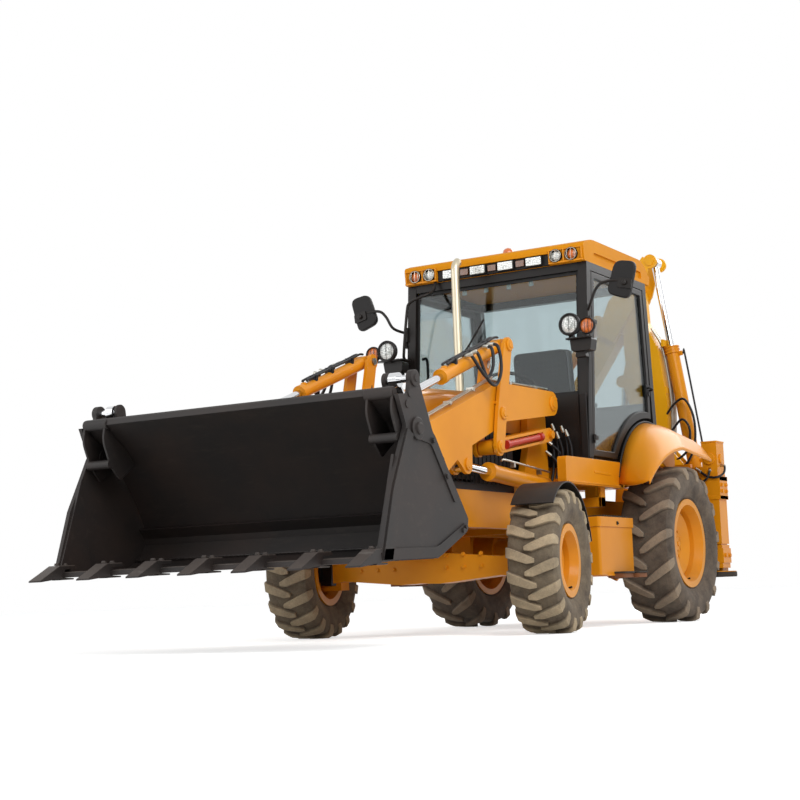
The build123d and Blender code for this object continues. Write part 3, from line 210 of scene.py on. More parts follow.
add(tree, "ShaderNodeOutputMaterial", {"Surface": whole})
floor.data.materials.append(matt_floor)
floor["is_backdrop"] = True
bpy.context.scene.view_settings.view_transform = "Standard"
print("studio with", len(bpy.data.lights), "lamps")

# %% [markdown]
# ## Materials
# The paint is a two-pack enamel sprayed over steel: an even orange yellow with a soft
# gloss, a slight orange peel, and a thin veil of road dust on faces that look up.


# %% Sprayed enamel paint
def dust_mask(tree, coordinates, amount):
    """How much dust lies on a face: more where it looks up, broken by a cloudy noise."""
    normal = add(tree, "ShaderNodeNewGeometry").outputs["Normal"]
    facing = add(tree, "ShaderNodeSeparateXYZ", {0: normal}).outputs["Z"]
    upward = add(tree, "ShaderNodeMapRange", {
        "Value": facing, "From Min": 0.1, "From Max": 1.0, "To Min": 0.15, "To Max": 1.0,
    })
    cloud = add(tree, "ShaderNodeTexNoise", {
        "Vector": coordinates, "Scale": 3.2, "Detail": 6.0, "Roughness": 0.62,
    })
    patch = add(tree, "ShaderNodeMapRange", {"Value": cloud, "From Min": 0.38, "From Max": 0.68})
    both = add(tree, "ShaderNodeMath", {0: upward, 1: patch}, operation="MULTIPLY")
    return add(tree, "ShaderNodeMath", {0: both, 1: amount}, operation="MULTIPLY")


def enamel(
    name, body, worn, dust="#B79A72", dust_amount=0.35, roughness=0.34, grain_mm=1.2, gloss=0.06, sheen=0.2,
):
    """Sprayed enamel on steel plate, with a faint peel and dust."""
    material, tree, place = new_material(name)
    cloud = add(tree, "ShaderNodeTexNoise", {"Vector": place, "Scale": 1.7, "Detail": 4.0})
    paint = add(
        tree, "ShaderNodeValToRGB", {"Fac": cloud}, stops=[(0.35, colour(worn)), (0.62, colour(body))],
    )
    mask = dust_mask(tree, place, dust_amount)
    mixed = add(tree, "ShaderNodeMix", {"Factor": mask, 6: paint, 7: colour(dust)}, data_type="RGBA")
    rough = add(tree, "ShaderNodeMapRange", {"Value": mask, "To Min": roughness, "To Max": 0.8})
    peel = add(tree, "ShaderNodeTexNoise", {"Vector": place, "Scale": 1000 / grain_mm / 8, "Detail": 2.0})
    bump = add(tree, "ShaderNodeBump", {"Height": peel, "Strength": 0.035, "Distance": 0.002})
    shader = add(tree, "ShaderNodeBsdfPrincipled", {
        "Base Color": mixed.outputs[2], "Roughness": rough, "Normal": bump, "IOR": 1.5,
        "Specular IOR Level": sheen, "Coat Weight": gloss, "Coat Roughness": 0.1,
    })
    add(tree, "ShaderNodeOutputMaterial", {"Surface": shader})
    return material


yellow_enamel = enamel("yellow_enamel", "#E49214", "#D9880F", dust="#C9993C", dust_amount=0.2)
# a lighter copy of the yellow enamel: painted light on the boom and dipper, which stand further from the key
# lamp
painted_light_enamel = enamel("painted_light_boom_enamel", "#F4B018", "#EAA612", dust="#C9A03C", dust_amount=0.12)
roof_enamel = enamel(
    "matt_roof_enamel", "#DE9012", "#D2850E", dust="#B98A3C", dust_amount=0.15,
    roughness=0.6, gloss=0.0, sheen=0.1,
)
hood_enamel = enamel(
    "waxed_hood_enamel", "#E2951B", "#D88B14", dust="#D8BFA0", dust_amount=0.25,
    roughness=0.28, gloss=0.5, sheen=0.4,
)
rim_enamel = enamel("rim_enamel", "#E0921C", "#CB8117", dust="#8A6E4C", dust_amount=0.6)
charcoal_enamel = enamel(
    "charcoal_enamel", "#1F1917", "#282120", dust="#80695A", dust_amount=0.42,
    roughness=0.55, gloss=0.0, sheen=0.06,
)
black_enamel = enamel(
    "black_enamel", "#171413", "#1E1A18", dust="#4E443C", dust_amount=0.25,
    roughness=0.4, gloss=0.0, sheen=0.25,
)
red_enamel = enamel("red_enamel", "#B93120", "#A82A1B", dust_amount=0.2)
print("enamels ready")

# %% [markdown]
# Tyres are carbon-black rubber cured in a steel mould. Driven over dry ground, the tread
# keeps a tan film of dust, which is thickest on the lugs' faces.


# %% Dusty tyre rubber
def tyre_rubber(name, rubber, dust, cover):
    """Moulded tyre rubber under a film of dry dust."""
    material, tree, place = new_material(name)
    cloud = add(tree, "ShaderNodeTexNoise", {"Vector": place, "Scale": 6.0, "Detail": 8.0, "Roughness": 0.65})
    fine = add(tree, "ShaderNodeTexNoise", {"Vector": place, "Scale": 90.0, "Detail": 4.0})
    blend = add(tree, "ShaderNodeMath", {0: cloud, 1: fine}, operation="ADD")
    mask = add(tree, "ShaderNodeMapRange", {
        "Value": blend, "From Min": 0.75, "From Max": 1.25, "To Min": cover - 0.25,
        "To Max": min(1.0, cover + 0.25),
    })
    mixed = add(tree, "ShaderNodeMix", {"Factor": mask, 6: colour(rubber), 7: colour(dust)}, data_type="RGBA")
    bump = add(tree, "ShaderNodeBump", {"Height": fine, "Strength": 0.2, "Distance": 0.002})
    shader = add(tree, "ShaderNodeBsdfPrincipled", {
        "Base Color": mixed.outputs[2], "Roughness": 0.85, "Normal": bump,
    })
    add(tree, "ShaderNodeOutputMaterial", {"Surface": shader})
    return material


dusty_rubber = tyre_rubber("dusty_tyre_rubber", "#3A332D", "#94806A", 0.55)
print(dusty_rubber.name, "ready")

# %% [markdown]
# Cylinder rods are ground steel with hard chrome; pins are turned steel. Windows are
# toughened glass with a light grey-green tint.


# %% Chrome, steel, glass and plastics
def metal(name, tint, roughness, brush_mm=None):
    """Bare or plated metal, with fine turning marks where it is brushed."""
    material, tree, place = new_material(name)
    inputs = {"Base Color": colour(tint), "Metallic": 1.0, "Roughness": roughness}
    if brush_mm:
        marks = add(
            tree, "ShaderNodeTexNoise", {"Vector": place, "Scale": 1000 / brush_mm / 6, "Detail": 3.0},
        )
        inputs["Normal"] = add(tree, "ShaderNodeBump", {"Height": marks, "Strength": 0.15, "Distance": 0.001})
    shader = add(tree, "ShaderNodeBsdfPrincipled", inputs)
    add(tree, "ShaderNodeOutputMaterial", {"Surface": shader})
    return material


hard_chrome = metal("hard_chrome", "#D9DADC", 0.12)
turned_steel = metal("turned_steel", "#8E8C88", 0.42, brush_mm=2.0)
stack_steel = metal("aluminised_stack_steel", "#C9BFA8", 0.38, brush_mm=3.0)


def window_glass(name, tint):
    """Toughened glass: clear, slightly tinted, and mirror smooth."""
    material, tree, _ = new_material(name)
    glossy = add(tree, "ShaderNodeBsdfGlossy", {"Color": colour("#FFFFFF"), "Roughness": 0.02})
    clear = add(tree, "ShaderNodeBsdfTransparent", {"Color": colour(tint)})
    edge = add(tree, "ShaderNodeFresnel", {"IOR": 1.5})
    faint = add(tree, "ShaderNodeMath", {0: edge, 1: 0.42}, operation="MULTIPLY")
    mixed = add(tree, "ShaderNodeMixShader", {0: faint, 1: clear, 2: glossy})
    add(tree, "ShaderNodeOutputMaterial", {"Surface": mixed})
    return material


tinted_glass = window_glass("tinted_glass", "#E3E9EA")


def plastic(name, tint, roughness, grain_mm=1.0, strength=0.1):
    """Moulded plastic with a fine spark-eroded grain."""
    material, tree, place = new_material(name)
    grain = add(tree, "ShaderNodeTexNoise", {"Vector": place, "Scale": 1000 / grain_mm / 6, "Detail": 2.0})
    bump = add(tree, "ShaderNodeBump", {"Height": grain, "Strength": strength, "Distance": 0.001})
    shader = add(tree, "ShaderNodeBsdfPrincipled", {
        "Base Color": colour(tint), "Roughness": roughness, "Normal": bump, "Specular IOR Level": 0.3,
    })
    add(tree, "ShaderNodeOutputMaterial", {"Surface": shader})
    return material


black_plastic = plastic("black_polypropylene", "#161414", 0.55)
cab_plastic = plastic("grey_cab_plastic", "#4A4A48", 0.6)
cast_iron = plastic("painted_cast_iron", "#3A3936", 0.6, grain_mm=2.0, strength=0.3)
print(len(bpy.data.materials), "materials so far")

# %% [markdown]
# ## Finish the carried-over solids
# Each CAD node keeps its shape and gets the finish of the real piece.

# %% Give each CAD node its finish
FINISH = {
    "yellow_paint": yellow_enamel,
    "bucket_paint": charcoal_enamel,
    "dark_paint": black_enamel,
    "rim_paint": rim_enamel,
    "red_paint": red_enamel,
    "window_glass": tinted_glass,
    "chromed_steel": hard_chrome,
    "pin_steel": turned_steel,
    "stack_steel": stack_steel,
    "cast_iron": cast_iron,
    "interior_plastic": cab_plastic,
    "lamp_housing": black_plastic,
    "tyre_rubber": dusty_rubber,
}
slots = {part["node"]: part["material_slot"] for part in frame["record"]["subparts"]}
for name, node in nodes.items():
    node.data.materials.clear()
    node.data.materials.append(FINISH[slots[name]])
# the boom and dipper take the lighter copy of the yellow, as painted light
for name in ("boom", "dipper"):
    nodes[name].data.materials[0] = painted_light_enamel
print("finished", len(nodes), "nodes")

# %% [markdown]
# ## Shaping helpers
# Most of the machine's trim is plate, bar and tube. So a piece is built from a few
# kinds of form: an outline pushed through a plane, a profile turned about an axis, and a
# tube along a path. A bevel modifier with hardened normals then breaks the sharp edges,
# as a grinder does on real plate, so that each edge catches some light.

# %% Places, planes and outlines
SIDES = ((1, "left"), (-1, "right"))
WHEELBASE = 2280
KING_X, KING_Y = 562, 3300
ARM_INNER, ARM_OUTER = 475, 585


def at(x, y, z):
    """Place in metres from millimetres: across, along from the front axle, and up."""
    return Vector((x / 1000, y / 1000 + FRAME_SHIFT, z / 1000))


def side_plane(a, b, w):
    """Outlines seen from the side: along, height, and how far across."""
    return at(w, a, b)


def front_plane(a, b, w):
    """Outlines seen from the front: across, height, and how far along."""
    return at(a, w, b)


def top_plane(a, b, w):
    """Outlines seen from above: across, along, and height."""
    return at(a, b, w)


def hoe_plane(a, b, w):
    """The plane that the digging arm moves in: reach from the king post, height, depth."""
    return at(KING_X - a, KING_Y + w, b)


def route(side, places):
    """A row of places on one side of the machine, drawn for its left side."""
    return [at(side * x, y, z) for x, y, z in places]


def flipped(side, outline):
    """An outline across the machine, drawn for its left side, on the side asked for."""
    return [(side * a, b) for a, b in outline]


def soft_corners(points, radii, steps=5):
    """An outline with rounded corners. Radii go with the points; 0 leaves a corner sharp."""
    if isinstance(radii, (int, float)):
        radii = [radii] * len(points)
    outline = []
    count = len(points)
    for i, radius in enumerate(radii):
        here = Vector(points[i])
        before = Vector(points[i - 1]) - here
        after = Vector(points[(i + 1) % count]) - here
        reach = min(radius, before.length * 0.49, after.length * 0.49)
        if reach <= 0:
            outline.append(tuple(here))
            continue
        start = here + before.normalized() * reach
        end = here + after.normalized() * reach
        for step in range(steps + 1):
            t = step / steps
            outline.append(tuple(start * (1 - t) ** 2 + here * 2 * t * (1 - t) + end * t * t))
    return outline


def soft_box(a0, a1, b0, b1, radius):
    """A rectangle with rounded corners."""
    return soft_corners([(a0, b0), (a1, b0), (a1, b1), (a0, b1)], radius)


print("the front axle stands at", at(0, 0, 0)[:], "and the rear one at", at(0, WHEELBASE, 0)[:])


# %% Forms in a bmesh
def slab(form, outline, low, high, plane=side_plane):
    """Push an outline through its plane from low to high."""
    near = [form.verts.new(plane(a, b, low)) for a, b in outline]
    far = [form.verts.new(plane(a, b, high)) for a, b in outline]
    form.faces.new(near)
    form.faces.new(far[::-1])
    for i in range(len(outline)):
        form.faces.new((near[i - 1], near[i], far[i], far[i - 1]))


def block(form, x0, x1, y0, y1, z0, z1):
    """A box between two corners."""
    slab(form, [(x0, y0), (x1, y0), (x1, y1), (x0, y1)], z0, z1, top_plane)


def turned(form, profile, centre, axis, count=40, ring=False):
    """Turn (along, radius) points about an axis. A ring closes on itself; else the ends are capped."""
    axis = Vector(axis).normalized()
    side = axis.orthogonal().normalized()
    other = axis.cross(side)
    loops = []
    for along, radius in profile:
        middle = Vector(centre) + axis * along / 1000
        if radius <= 0:
            loops.append([form.verts.new(middle)])
            continue
        loops.append([
            form.verts.new(middle + (side * math.cos(a) + other * math.sin(a)) * radius / 1000)
            for a in (2 * math.pi * i / count for i in range(count))
        ])
    pairs = list(zip(loops, loops[1:])) + ([(loops[-1], loops[0])] if ring else [])
    for first, second in pairs:
        for i in range(count):
            j = (i + 1) % count
            corners = [loop[k % len(loop)] for loop, k in ((first, i), (first, j), (second, j), (second, i))]
            corners = [v for k, v in enumerate(corners) if v not in corners[:k]]
            if len(corners) > 2:
                form.faces.new(corners)
    if not ring:
        for loop in (loops[0], loops[-1]):
            if len(loop) > 1:
                form.faces.new(loop)


def swept(form, points, radius, sides=10):
    """A round tube through these places, with mitred bends and capped ends."""
    spots = [Vector(p) for p in points]
    loops = []
    lean = None
    for i, spot in enumerate(spots):
        ahead = (spots[min(i + 1, len(spots) - 1)] - spots[max(i - 1, 0)]).normalized()
        lean = (ahead.orthogonal() if lean is None else lean - ahead * lean.dot(ahead)).normalized()
        other = ahead.cross(lean)
        loops.append([
            form.verts.new(spot + (lean * math.cos(a) + other * math.sin(a)) * radius / 1000)
            for a in (2 * math.pi * k / sides for k in range(sides))
        ])
    for first, second in zip(loops, loops[1:]):
        for k in range(sides):
            form.faces.new((first[k - 1], first[k], second[k], second[k - 1]))
    form.faces.new(loops[0])
    form.faces.new(loops[-1][::-1])


def bent(points, per_run=8):
    """Places along a smooth line through the given ones."""
    spots = [Vector(p) for p in points]
    ends = [spots[0] * 2 - spots[1]] + spots + [spots[-1] * 2 - spots[-2]]
    line = []
    for i in range(1, len(ends) - 2):
        a, b, c, d = ends[i - 1:i + 3]
        for step in range(per_run):
            t = step / per_run
            square, cube = a * 2 - b * 5 + c * 4 - d, b * 3 - a - c * 3 + d
            line.append(0.5 * (b * 2 + (c - a) * t + square * t * t + cube * t ** 3))
    line.append(spots[-1])
    return line


def hex_heads(form, places, ahead, across=24, height=14):
    """Hexagon bolt heads on washers, standing on a face that looks along ahead."""
    corner, washer = across * 0.577, across * 0.72
    for place in places:
        turned(form, [(-2, washer), (3, washer)], place, ahead, count=20)
        turned(form, [(3, corner), (height - 2, corner), (height, across * 0.5)], place, ahead, count=6)


def pin_cap(form, place, ahead, radius, rim, pin, tall, count=32):
    """A cap over a pin's end: a rim that is chamfered at its edge, and the pin standing out of it."""
    bore, edge = pin + 2, rim + 4
    profile = [(0, radius), (rim, radius), (edge, radius - 6), (edge, bore), (tall, pin), (tall, 0)]
    turned(form, profile, place, ahead, count=count)


print("forms: slab, block, turned, swept, bolt heads and pin caps")

# %% Put a piece on the machine
SLOT_OF = {finish.name: slot for slot, finish in FINISH.items()}
for paint in (hood_enamel, painted_light_enamel, roof_enamel):
    SLOT_OF[paint.name] = "yellow_paint"


def piece(name, form, body, material, bevel=0.0, replaces=(), smooth=35, segments=2):
    """Turn a bmesh into a shaded object that rides on a body, and may stand for CAD nodes."""
    bmesh.ops.recalc_face_normals(form, faces=form.faces)
    mesh = bpy.data.meshes.new(name)
    form.to_mesh(mesh)
    form.free()
    mesh.materials.append(material)
    made = bpy.data.objects.new(name, mesh)
    bpy.context.scene.collection.objects.link(made)
    mesh.shade_smooth()
    mesh.set_sharp_from_angle(angle=math.radians(smooth))
    if bevel:
        edge = made.modifiers.new("broken_edges", "BEVEL")
        edge.width = bevel / 1000
        edge.segments = segments
        edge.limit_method = "ANGLE"
        edge.angle_limit = math.radians(30)
        edge.harden_normals = True
    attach(made, body)
    if replaces:
        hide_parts(*replaces)
    return made


def drawn_once(side, *names):
    """CAD nodes that hold both sides of the machine, given to the left side's piece alone."""
    return names if side > 0 else ()


def cut(target, form):
    """Cut one closed form out of a piece."""
    bmesh.ops.recalc_face_normals(form, faces=form.faces)
    mesh = bpy.data.meshes.new("cutter")
    form.to_mesh(mesh)
    form.free()
    tool = bpy.data.objects.new("cutter", mesh)
    bpy.context.scene.collection.objects.link(tool)
    step = target.modifiers.new("cut", "BOOLEAN")
    step.object = tool
    step.operation = "DIFFERENCE"
    step.solver = "EXACT"
    target.modifiers.move(len(target.modifiers) - 1, 0)
    hidden = [m for m in target.modifiers if m != step]
    for modifier in hidden:
        modifier.show_viewport = False
    bpy.context.view_layer.update()
    graph = bpy.context.evaluated_depsgraph_get()
    carved = bpy.data.meshes.new_from_object(target.evaluated_get(graph))
    for modifier in hidden:
        modifier.show_viewport = True
    target.modifiers.remove(step)
    old = target.data
    target.data = carved
    carved.name = old.name + "_cut"
    carved.set_sharp_from_angle(angle=math.radians(35))
    bpy.data.objects.remove(tool)


def mirrored(form):
    """Repeat everything in the form on the machine's other side."""
    copied = bmesh.ops.duplicate(form, geom=form.verts[:] + form.edges[:] + form.faces[:])["geom"]
    for vert in (v for v in copied if isinstance(v, bmesh.types.BMVert)):
        vert.co.x = -vert.co.x


print(len(SLOT_OF), "finishes have a slot")

# %% [markdown]
# ## Tyres
# A loader's front tyres have short heavy bars, the rear ones long slanting bars. Each lug
# is lofted over the carcass: it starts past the middle of the tread, sweeps back and
# rolls down over the shoulder. The lugs are marked with an attribute, so that the rubber
# can carry dust on their faces and stay dark in the grooves.

# %% Rubber with dusty lugs
def tread_rubber(name, dusty, groove, wall):
    """Black rubber under dust. The tread_height attribute is 1 on a lug's face and 0 below it."""
    material, tree, place = new_material(name)
    height = add(tree, "ShaderNodeAttribute", attribute_name="tread_height").outputs["Fac"]
    cloud = add(tree, "ShaderNodeTexNoise", {"Vector": place, "Scale": 7.0, "Detail": 8.0, "Roughness": 0.68})
    fine = add(tree, "ShaderNodeTexNoise", {"Vector": place, "Scale": 120.0, "Detail": 5.0, "Roughness": 0.6})
    patch = add(tree, "ShaderNodeMapRange", {"Value": cloud, "From Min": 0.3, "From Max": 0.72})
    low = add(tree, "ShaderNodeMix", {"Factor": patch, 6: colour(groove), 7: colour(wall)}, data_type="RGBA")
    high = add(tree, "ShaderNodeMix", {"Factor": patch, 6: colour(wall), 7: colour(dusty)}, data_type="RGBA")
    face = add(tree, "ShaderNodeMapRange", {"Value": height, "From Min": 0.35, "From Max": 0.95})
    mixed = add(tree, "ShaderNodeMix", {
        "Factor": face, 6: low.outputs[2], 7: high.outputs[2],
    }, data_type="RGBA")
    grit = add(tree, "ShaderNodeMapRange", {
        "Value": fine, "From Min": 0.3, "From Max": 0.7, "To Min": 0.82, "To Max": 1.1,
    })
    shade = add(tree, "ShaderNodeVectorMath", {0: mixed.outputs[2], 1: grit}, operation="MULTIPLY")
    bump = add(tree, "ShaderNodeBump", {"Height": fine, "Strength": 0.35, "Distance": 0.003})
    shader = add(tree, "ShaderNodeBsdfPrincipled", {"Base Color": shade, "Roughness": 0.9, "Normal": bump})
    add(tree, "ShaderNodeOutputMaterial", {"Surface": shader})
    return material


front_rubber = tread_rubber("front_tyre_rubber", "#BFAB8C", "#4A3F35", "#857762")
rear_rubber = tread_rubber("rear_tyre_rubber", "#A08E78", "#3F362F", "#766859")
print(front_rubber.name, "and", rear_rubber.name, "ready")

# %% Build the four tyres
# outer radius, width, rim radius, place across, place along, lugs a side, lug height,
# tip past the middle, lug width, sweep back, all in millimetres
TYRES = {
    "front": (460, 330, 235, 905, 0, 18, 26, 34, 62, 60),
    "rear": (592, 410, 335, 857, WHEELBASE, 15, 34, 18, 68, 128),
}
KINGPIN_X = 780
STEER = math.radians(8)


def steered(form, side):
    """Turn a front corner's form about its kingpin, by the angle that the wheels are left at."""
    pin = at(side * KINGPIN_X, 0, 0)
    turn = Matrix.Translation(pin) @ Matrix.Rotation(STEER, 4, "Z") @ Matrix.Translation(-pin)
    bmesh.ops.transform(form, matrix=turn, verts=form.verts[:])


def tyre(name, end, side):
    """One tyre: a turned carcass with its lugs lofted over tread and shoulder."""
    outer, width, rim, across, along, count, height, tip, broad, sweep = TYRES[end]
    half = width / 2
    base = outer - height
    wall = base - rim
    form = bmesh.new()
    mark = form.verts.layers.float.new("tread_height")
    bands = [
        (0.70, rim - 2), (0.76, rim + 0.06 * wall), (0.80, rim + 0.09 * wall),
        (0.81, rim + 0.14 * wall), (0.90, rim + 0.25 * wall), (0.965, rim + 0.42 * wall),
        (0.985, rim + 0.55 * wall), (0.975, rim + 0.70 * wall), (0.94, rim + 0.84 * wall),
        (0.87, rim + 0.945 * wall), (0.70, rim + 0.985 * wall), (0.35, base - 1), (0.0, base),
    ]
    profile = [(-share * half, radius) for share, radius in bands]
    profile += [(share * half, radius) for share, radius in bands[-2::-1]]
    centre = at(side * across, along, outer)
    turned(form, profile, centre, (1, 0, 0), count=96, ring=True)
    stations = [
        # share across, radius, way out (across, outward), height share, place along the sweep, width share
        (-tip / half, base, (0, 1), 0.96, 0.00, 0.42),
        (0.10, base, (0, 1), 1.0, 0.16, 0.90),
        (0.42, base - 1, (0, 1), 1.0, 0.50, 1.0),
        (0.72, rim + 0.985 * wall, (0.05, 1), 1.0, 0.82, 1.05),
        (0.885, rim + 0.93 * wall, (0.35, 0.94), 0.92, 1.0, 1.08),
        (0.955, rim + 0.80 * wall, (0.8, 0.6), 0.42, 1.08, 1.0),
        (0.975, rim + 0.66 * wall, (1, 0), 0.16, 1.14, 0.8),
    ]
    for flip in (1, -1):
        for number in range(count):
            start = 2 * math.pi * (number + (0.5 if flip < 0 else 0)) / count
            rows = []
            for share, radius, out, rise, back, broadness in stations:
                corners = []
                for edge, lifted in ((-1.18, 0), (-1, 1), (1, 1), (1.18, 0)):
                    lift = height * rise if lifted else -7
                    x = share * half + out[0] * lift
                    r = radius + out[1] * lift
                    angle = start + (sweep * back + edge * broad * broadness / 2) / outer
                    vert = form.verts.new(
                        centre + Vector((flip * x, r * math.sin(angle), r * math.cos(angle))) / 1000
                    )
                    vert[mark] = lifted
                    corners.append(vert)
                rows.append(corners)
            for a, b in zip(rows, rows[1:]):
                for k in range(4):
                    form.faces.new((a[k - 1], a[k], b[k], b[k - 1]))
            form.faces.new(rows[0])
            form.faces.new(rows[-1][::-1])
    if end == "front":
        steered(form, side)
    rubber = front_rubber if end == "front" else rear_rubber
    return piece(
        "lugged_" + name, form, "wheel_" + name, rubber, bevel=4, replaces=("tyre_" + name,), smooth=40,
    )


for end in ("front", "rear"):
    for side, hand in SIDES:
        made = tyre(end + "_" + hand, end, side)
        print(made.name, len(made.data.polygons), "faces")

# %% [markdown]
# ## Wheel centres
# The rims are the CAD's own, sprayed in the machine's yellow. Each gets what is bolted
# to it: a stepped hub cap with a ring of wheel nuts, a valve, and near the edge of the
# dish a dark cup, painted shade where the hand hole opens.

# %% Hub caps, nuts, valves and hand holes
def wheel_trim(end, side, hand):
    """Hub cap with its nuts in one piece; valve, and in front a dark cup as painted shade in the hand hole,
    in another.
    """
    outer, _, rim, across, along = TYRES[end][:5]
    face, cap, ring, nuts = ((-6, 48, 72, 8), (24, 92, 116, 10))[end == "rear"]
    centre = at(side * across, along, outer)
    out = Vector((side, 0, 0))
    form = bmesh.new()
    profile = [
        (face - 4, cap), (face + 22, cap), (face + 27, cap - 6), (face + 27, cap * 0.62),
        (face + 38, cap * 0.58), (face + 42, cap * 0.5), (face + 42, cap * 0.22),
        (face + 50, cap * 0.2), (face + 50, 0),
    ]
    turned(form, profile, centre, out, count=48)
    places = []
    for number in range(nuts):
        angle = 2 * math.pi * (number + 0.5) / nuts
        places.append(
            centre + out * face / 1000 + Vector((0, math.cos(angle), math.sin(angle))) * ring / 1000
        )
    hex_heads(form, places, out, across=22, height=20)
    if end == "front":
        steered(form, side)
    name = end + "_" + hand
    piece("hub_cap_" + name, form, "wheel_" + name, rim_enamel, bevel=1.5)
    form = bmesh.new()
    # in front, a dark cup is painted shade in the hand hole's opening
    if end == "front":
        hole = 26
        slope = math.radians(62)
        away = Vector((0, math.cos(slope), math.sin(slope)))
        spot = centre - away * rim * 0.80 / 1000 + out * 24 / 1000
        ring = [(-6, hole), (6, hole), (9, hole - 5), (-2, hole - 9), (-2, 0)]
        turned(form, ring, spot, out * 0.86 + away * 0.5, count=28)
    stem = centre + Vector((0, 0.2, -0.97)) * (rim - 46) / 1000 + out * 52 / 1000
    swept(form, [stem, stem + out * 0.03, stem + out * 0.055 + Vector((0, 0, 0.012))], 4.5)
    swept(form, [stem + out * 0.052 + Vector((0, 0, 0.011)), stem + out * 0.072 + Vector((0, 0, 0.016))], 6.5)
    if end == "front":
        steered(form, side)
    piece("valve_and_hand_hole_shade_" + name, form, "wheel_" + name, black_enamel)


for end in ("front", "rear"):
    for side, hand in SIDES:
        wheel_trim(end, side, hand)
print("wheel centres done")

# %% [markdown]
# ## Cab roof and its lamps
# The roof is a moulded cap. A dark recess under its front brow holds four work lamps,
# with dark brown lenses between them as painted shade of the recess, and each end carries
# an amber and a white round lamp behind a wire guard. The lenses are clear polycarbonate
# over a stepped reflector, so their colour is a pale silver broken by darker flutes.

# %% Lenses and wire
def lens_material(name, pale, dark, flute_mm=14.0, metallic=0.15):
    """A clear or amber lens over a reflector, with moulded flutes."""
    material, tree, place = new_material(name)
    inputs = {"Vector": place, "Scale": 1000 / flute_mm, "Randomness": 0.35}
    cells = add(tree, "ShaderNodeTexVoronoi", inputs, feature="DISTANCE_TO_EDGE")
    lines = add(tree, "ShaderNodeMapRange", {"Value": cells, "From Min": 0.02, "From Max": 0.22})
    tone = add(tree, "ShaderNodeValToRGB", {"Fac": lines}, stops=[(0.0, colour(dark)), (0.7, colour(pale))])
    bump = add(tree, "ShaderNodeBump", {"Height": cells, "Strength": 0.5, "Distance": 0.004})
    shader = add(tree, "ShaderNodeBsdfPrincipled", {
        "Base Color": tone, "Roughness": 0.16, "Metallic": metallic, "Normal": bump, "Coat Weight": 1.0,
        "Coat Roughness": 0.03,
    })
    add(tree, "ShaderNodeOutputMaterial", {"Surface": shader})
    return material


clear_lens = lens_material("clear_lamp_lens", "#F6F8F5", "#9AA09C")
amber_lens = lens_material("amber_lamp_lens", "#EE7A1C", "#A34A12", flute_mm=9.0, metallic=0.0)
# dark brown lenses for between the work lamps: painted shade of the roof's recess there
painted_shade_lens = lens_material("painted_shade_brown_lens", "#7A4416", "#4A260C", flute_mm=9.0, metallic=0.0)
wire_steel = metal("plated_guard_wire", "#B9B2A6", 0.3)
print("lenses and wire ready")

# %% Roof cap with its recesses
ROOF_TOP = 2818
LAMP_Z = 2698
BEACON_Y = 1450
WORK_LAMPS = (-350, -117, 117, 350)
form = bmesh.new()
roof_line = [(1164, 2640), (2420, 2640), (2440, 2700), (2300, ROOF_TOP), (1290, ROOF_TOP), (1150, 2772)]
slab(form, soft_corners(roof_line, (14, 10, 30, 90, 110, 30)), -750, 750)
roof = piece("roof_cap", form, "chassis", roof_enamel, bevel=12, replaces=("cab_roof",), segments=3)
form = bmesh.new()
block(form, -470, 470, 1100, 1194, 2630, 2724)
cut(roof, form)
for side in (1, -1):
    form = bmesh.new()
    slab(form, soft_box(1340, 2260, 2666, 2724, 22), side * 736, side * 760)
    cut(roof, form)
END_LAMPS = (-655, -530, 530, 655)
for x in END_LAMPS:
    form = bmesh.new()
    turned(form, [(0, 50), (60, 46)], at(x, 1140, LAMP_Z), (0, 1, 0))
    cut(roof, form)
form = bmesh.new()
for side in (1, -1):
    block(form, side * 470, side * 745, 1146, 1160, 2642, 2656)
    for x in (side * 735, side * 592, side * 478):
        block(form, x - 5, x + 5, 1142, 1152, 2655, 2742)
    block(form, side * 470, side * 742, 1142, 1152, 2738, 2746)
piece("roof_end_frames", form, "chassis", yellow_enamel, bevel=3)
print(roof.name, len(roof.data.polygons), "faces after the cuts")

# %% Lamp bar, work lamps and turn lamps
form = bmesh.new()
block(form, -469, 469, 1172, 1194, 2642, 2722)
for x in WORK_LAMPS:
    slab(form, soft_box(x - 68, x + 68, 2646, 2718, 10), 1148, 1180, front_plane)
piece("lamp_bar", form, "chassis", black_plastic, bevel=3, replaces=("lamps",))
lens_dome = [(0, 0), (4, 16), (10, 30), (16, 38), (26, 38)]
form = bmesh.new()
for x in WORK_LAMPS:
    slab(form, soft_box(x - 61, x + 61, 2652, 2712, 8), 1142, 1160, front_plane)
for x in END_LAMPS[1:3]:
    turned(form, lens_dome, at(x, 1141, LAMP_Z), (0, 1, 0))
piece("work_lamp_lenses", form, "chassis", clear_lens, bevel=2)
# dark brown plates between the work lamps, painted shade of the recess
form = bmesh.new()
for x in (-234, 0, 234):
    slab(form, soft_box(x - 34, x + 34, 2660, 2706, 6), 1154, 1175, front_plane)
piece("painted_shade_between_lamps", form, "chassis", painted_shade_lens, bevel=2)
form = bmesh.new()
for x in (END_LAMPS[0], END_LAMPS[3]):
    turned(form, lens_dome, at(x, 1141, LAMP_Z), (0, 1, 0))
piece("turn_lamp_lenses", form, "chassis", amber_lens, bevel=2)
form = bmesh.new()
for x in END_LAMPS:
    profile = [(0, 49), (0, 43), (20, 42), (20, 38), (26, 38), (26, 49)]
    turned(form, profile, at(x, 1138, LAMP_Z), (0, 1, 0), ring=True)
piece("end_lamp_bezels", form, "chassis", black_plastic, bevel=1.5)


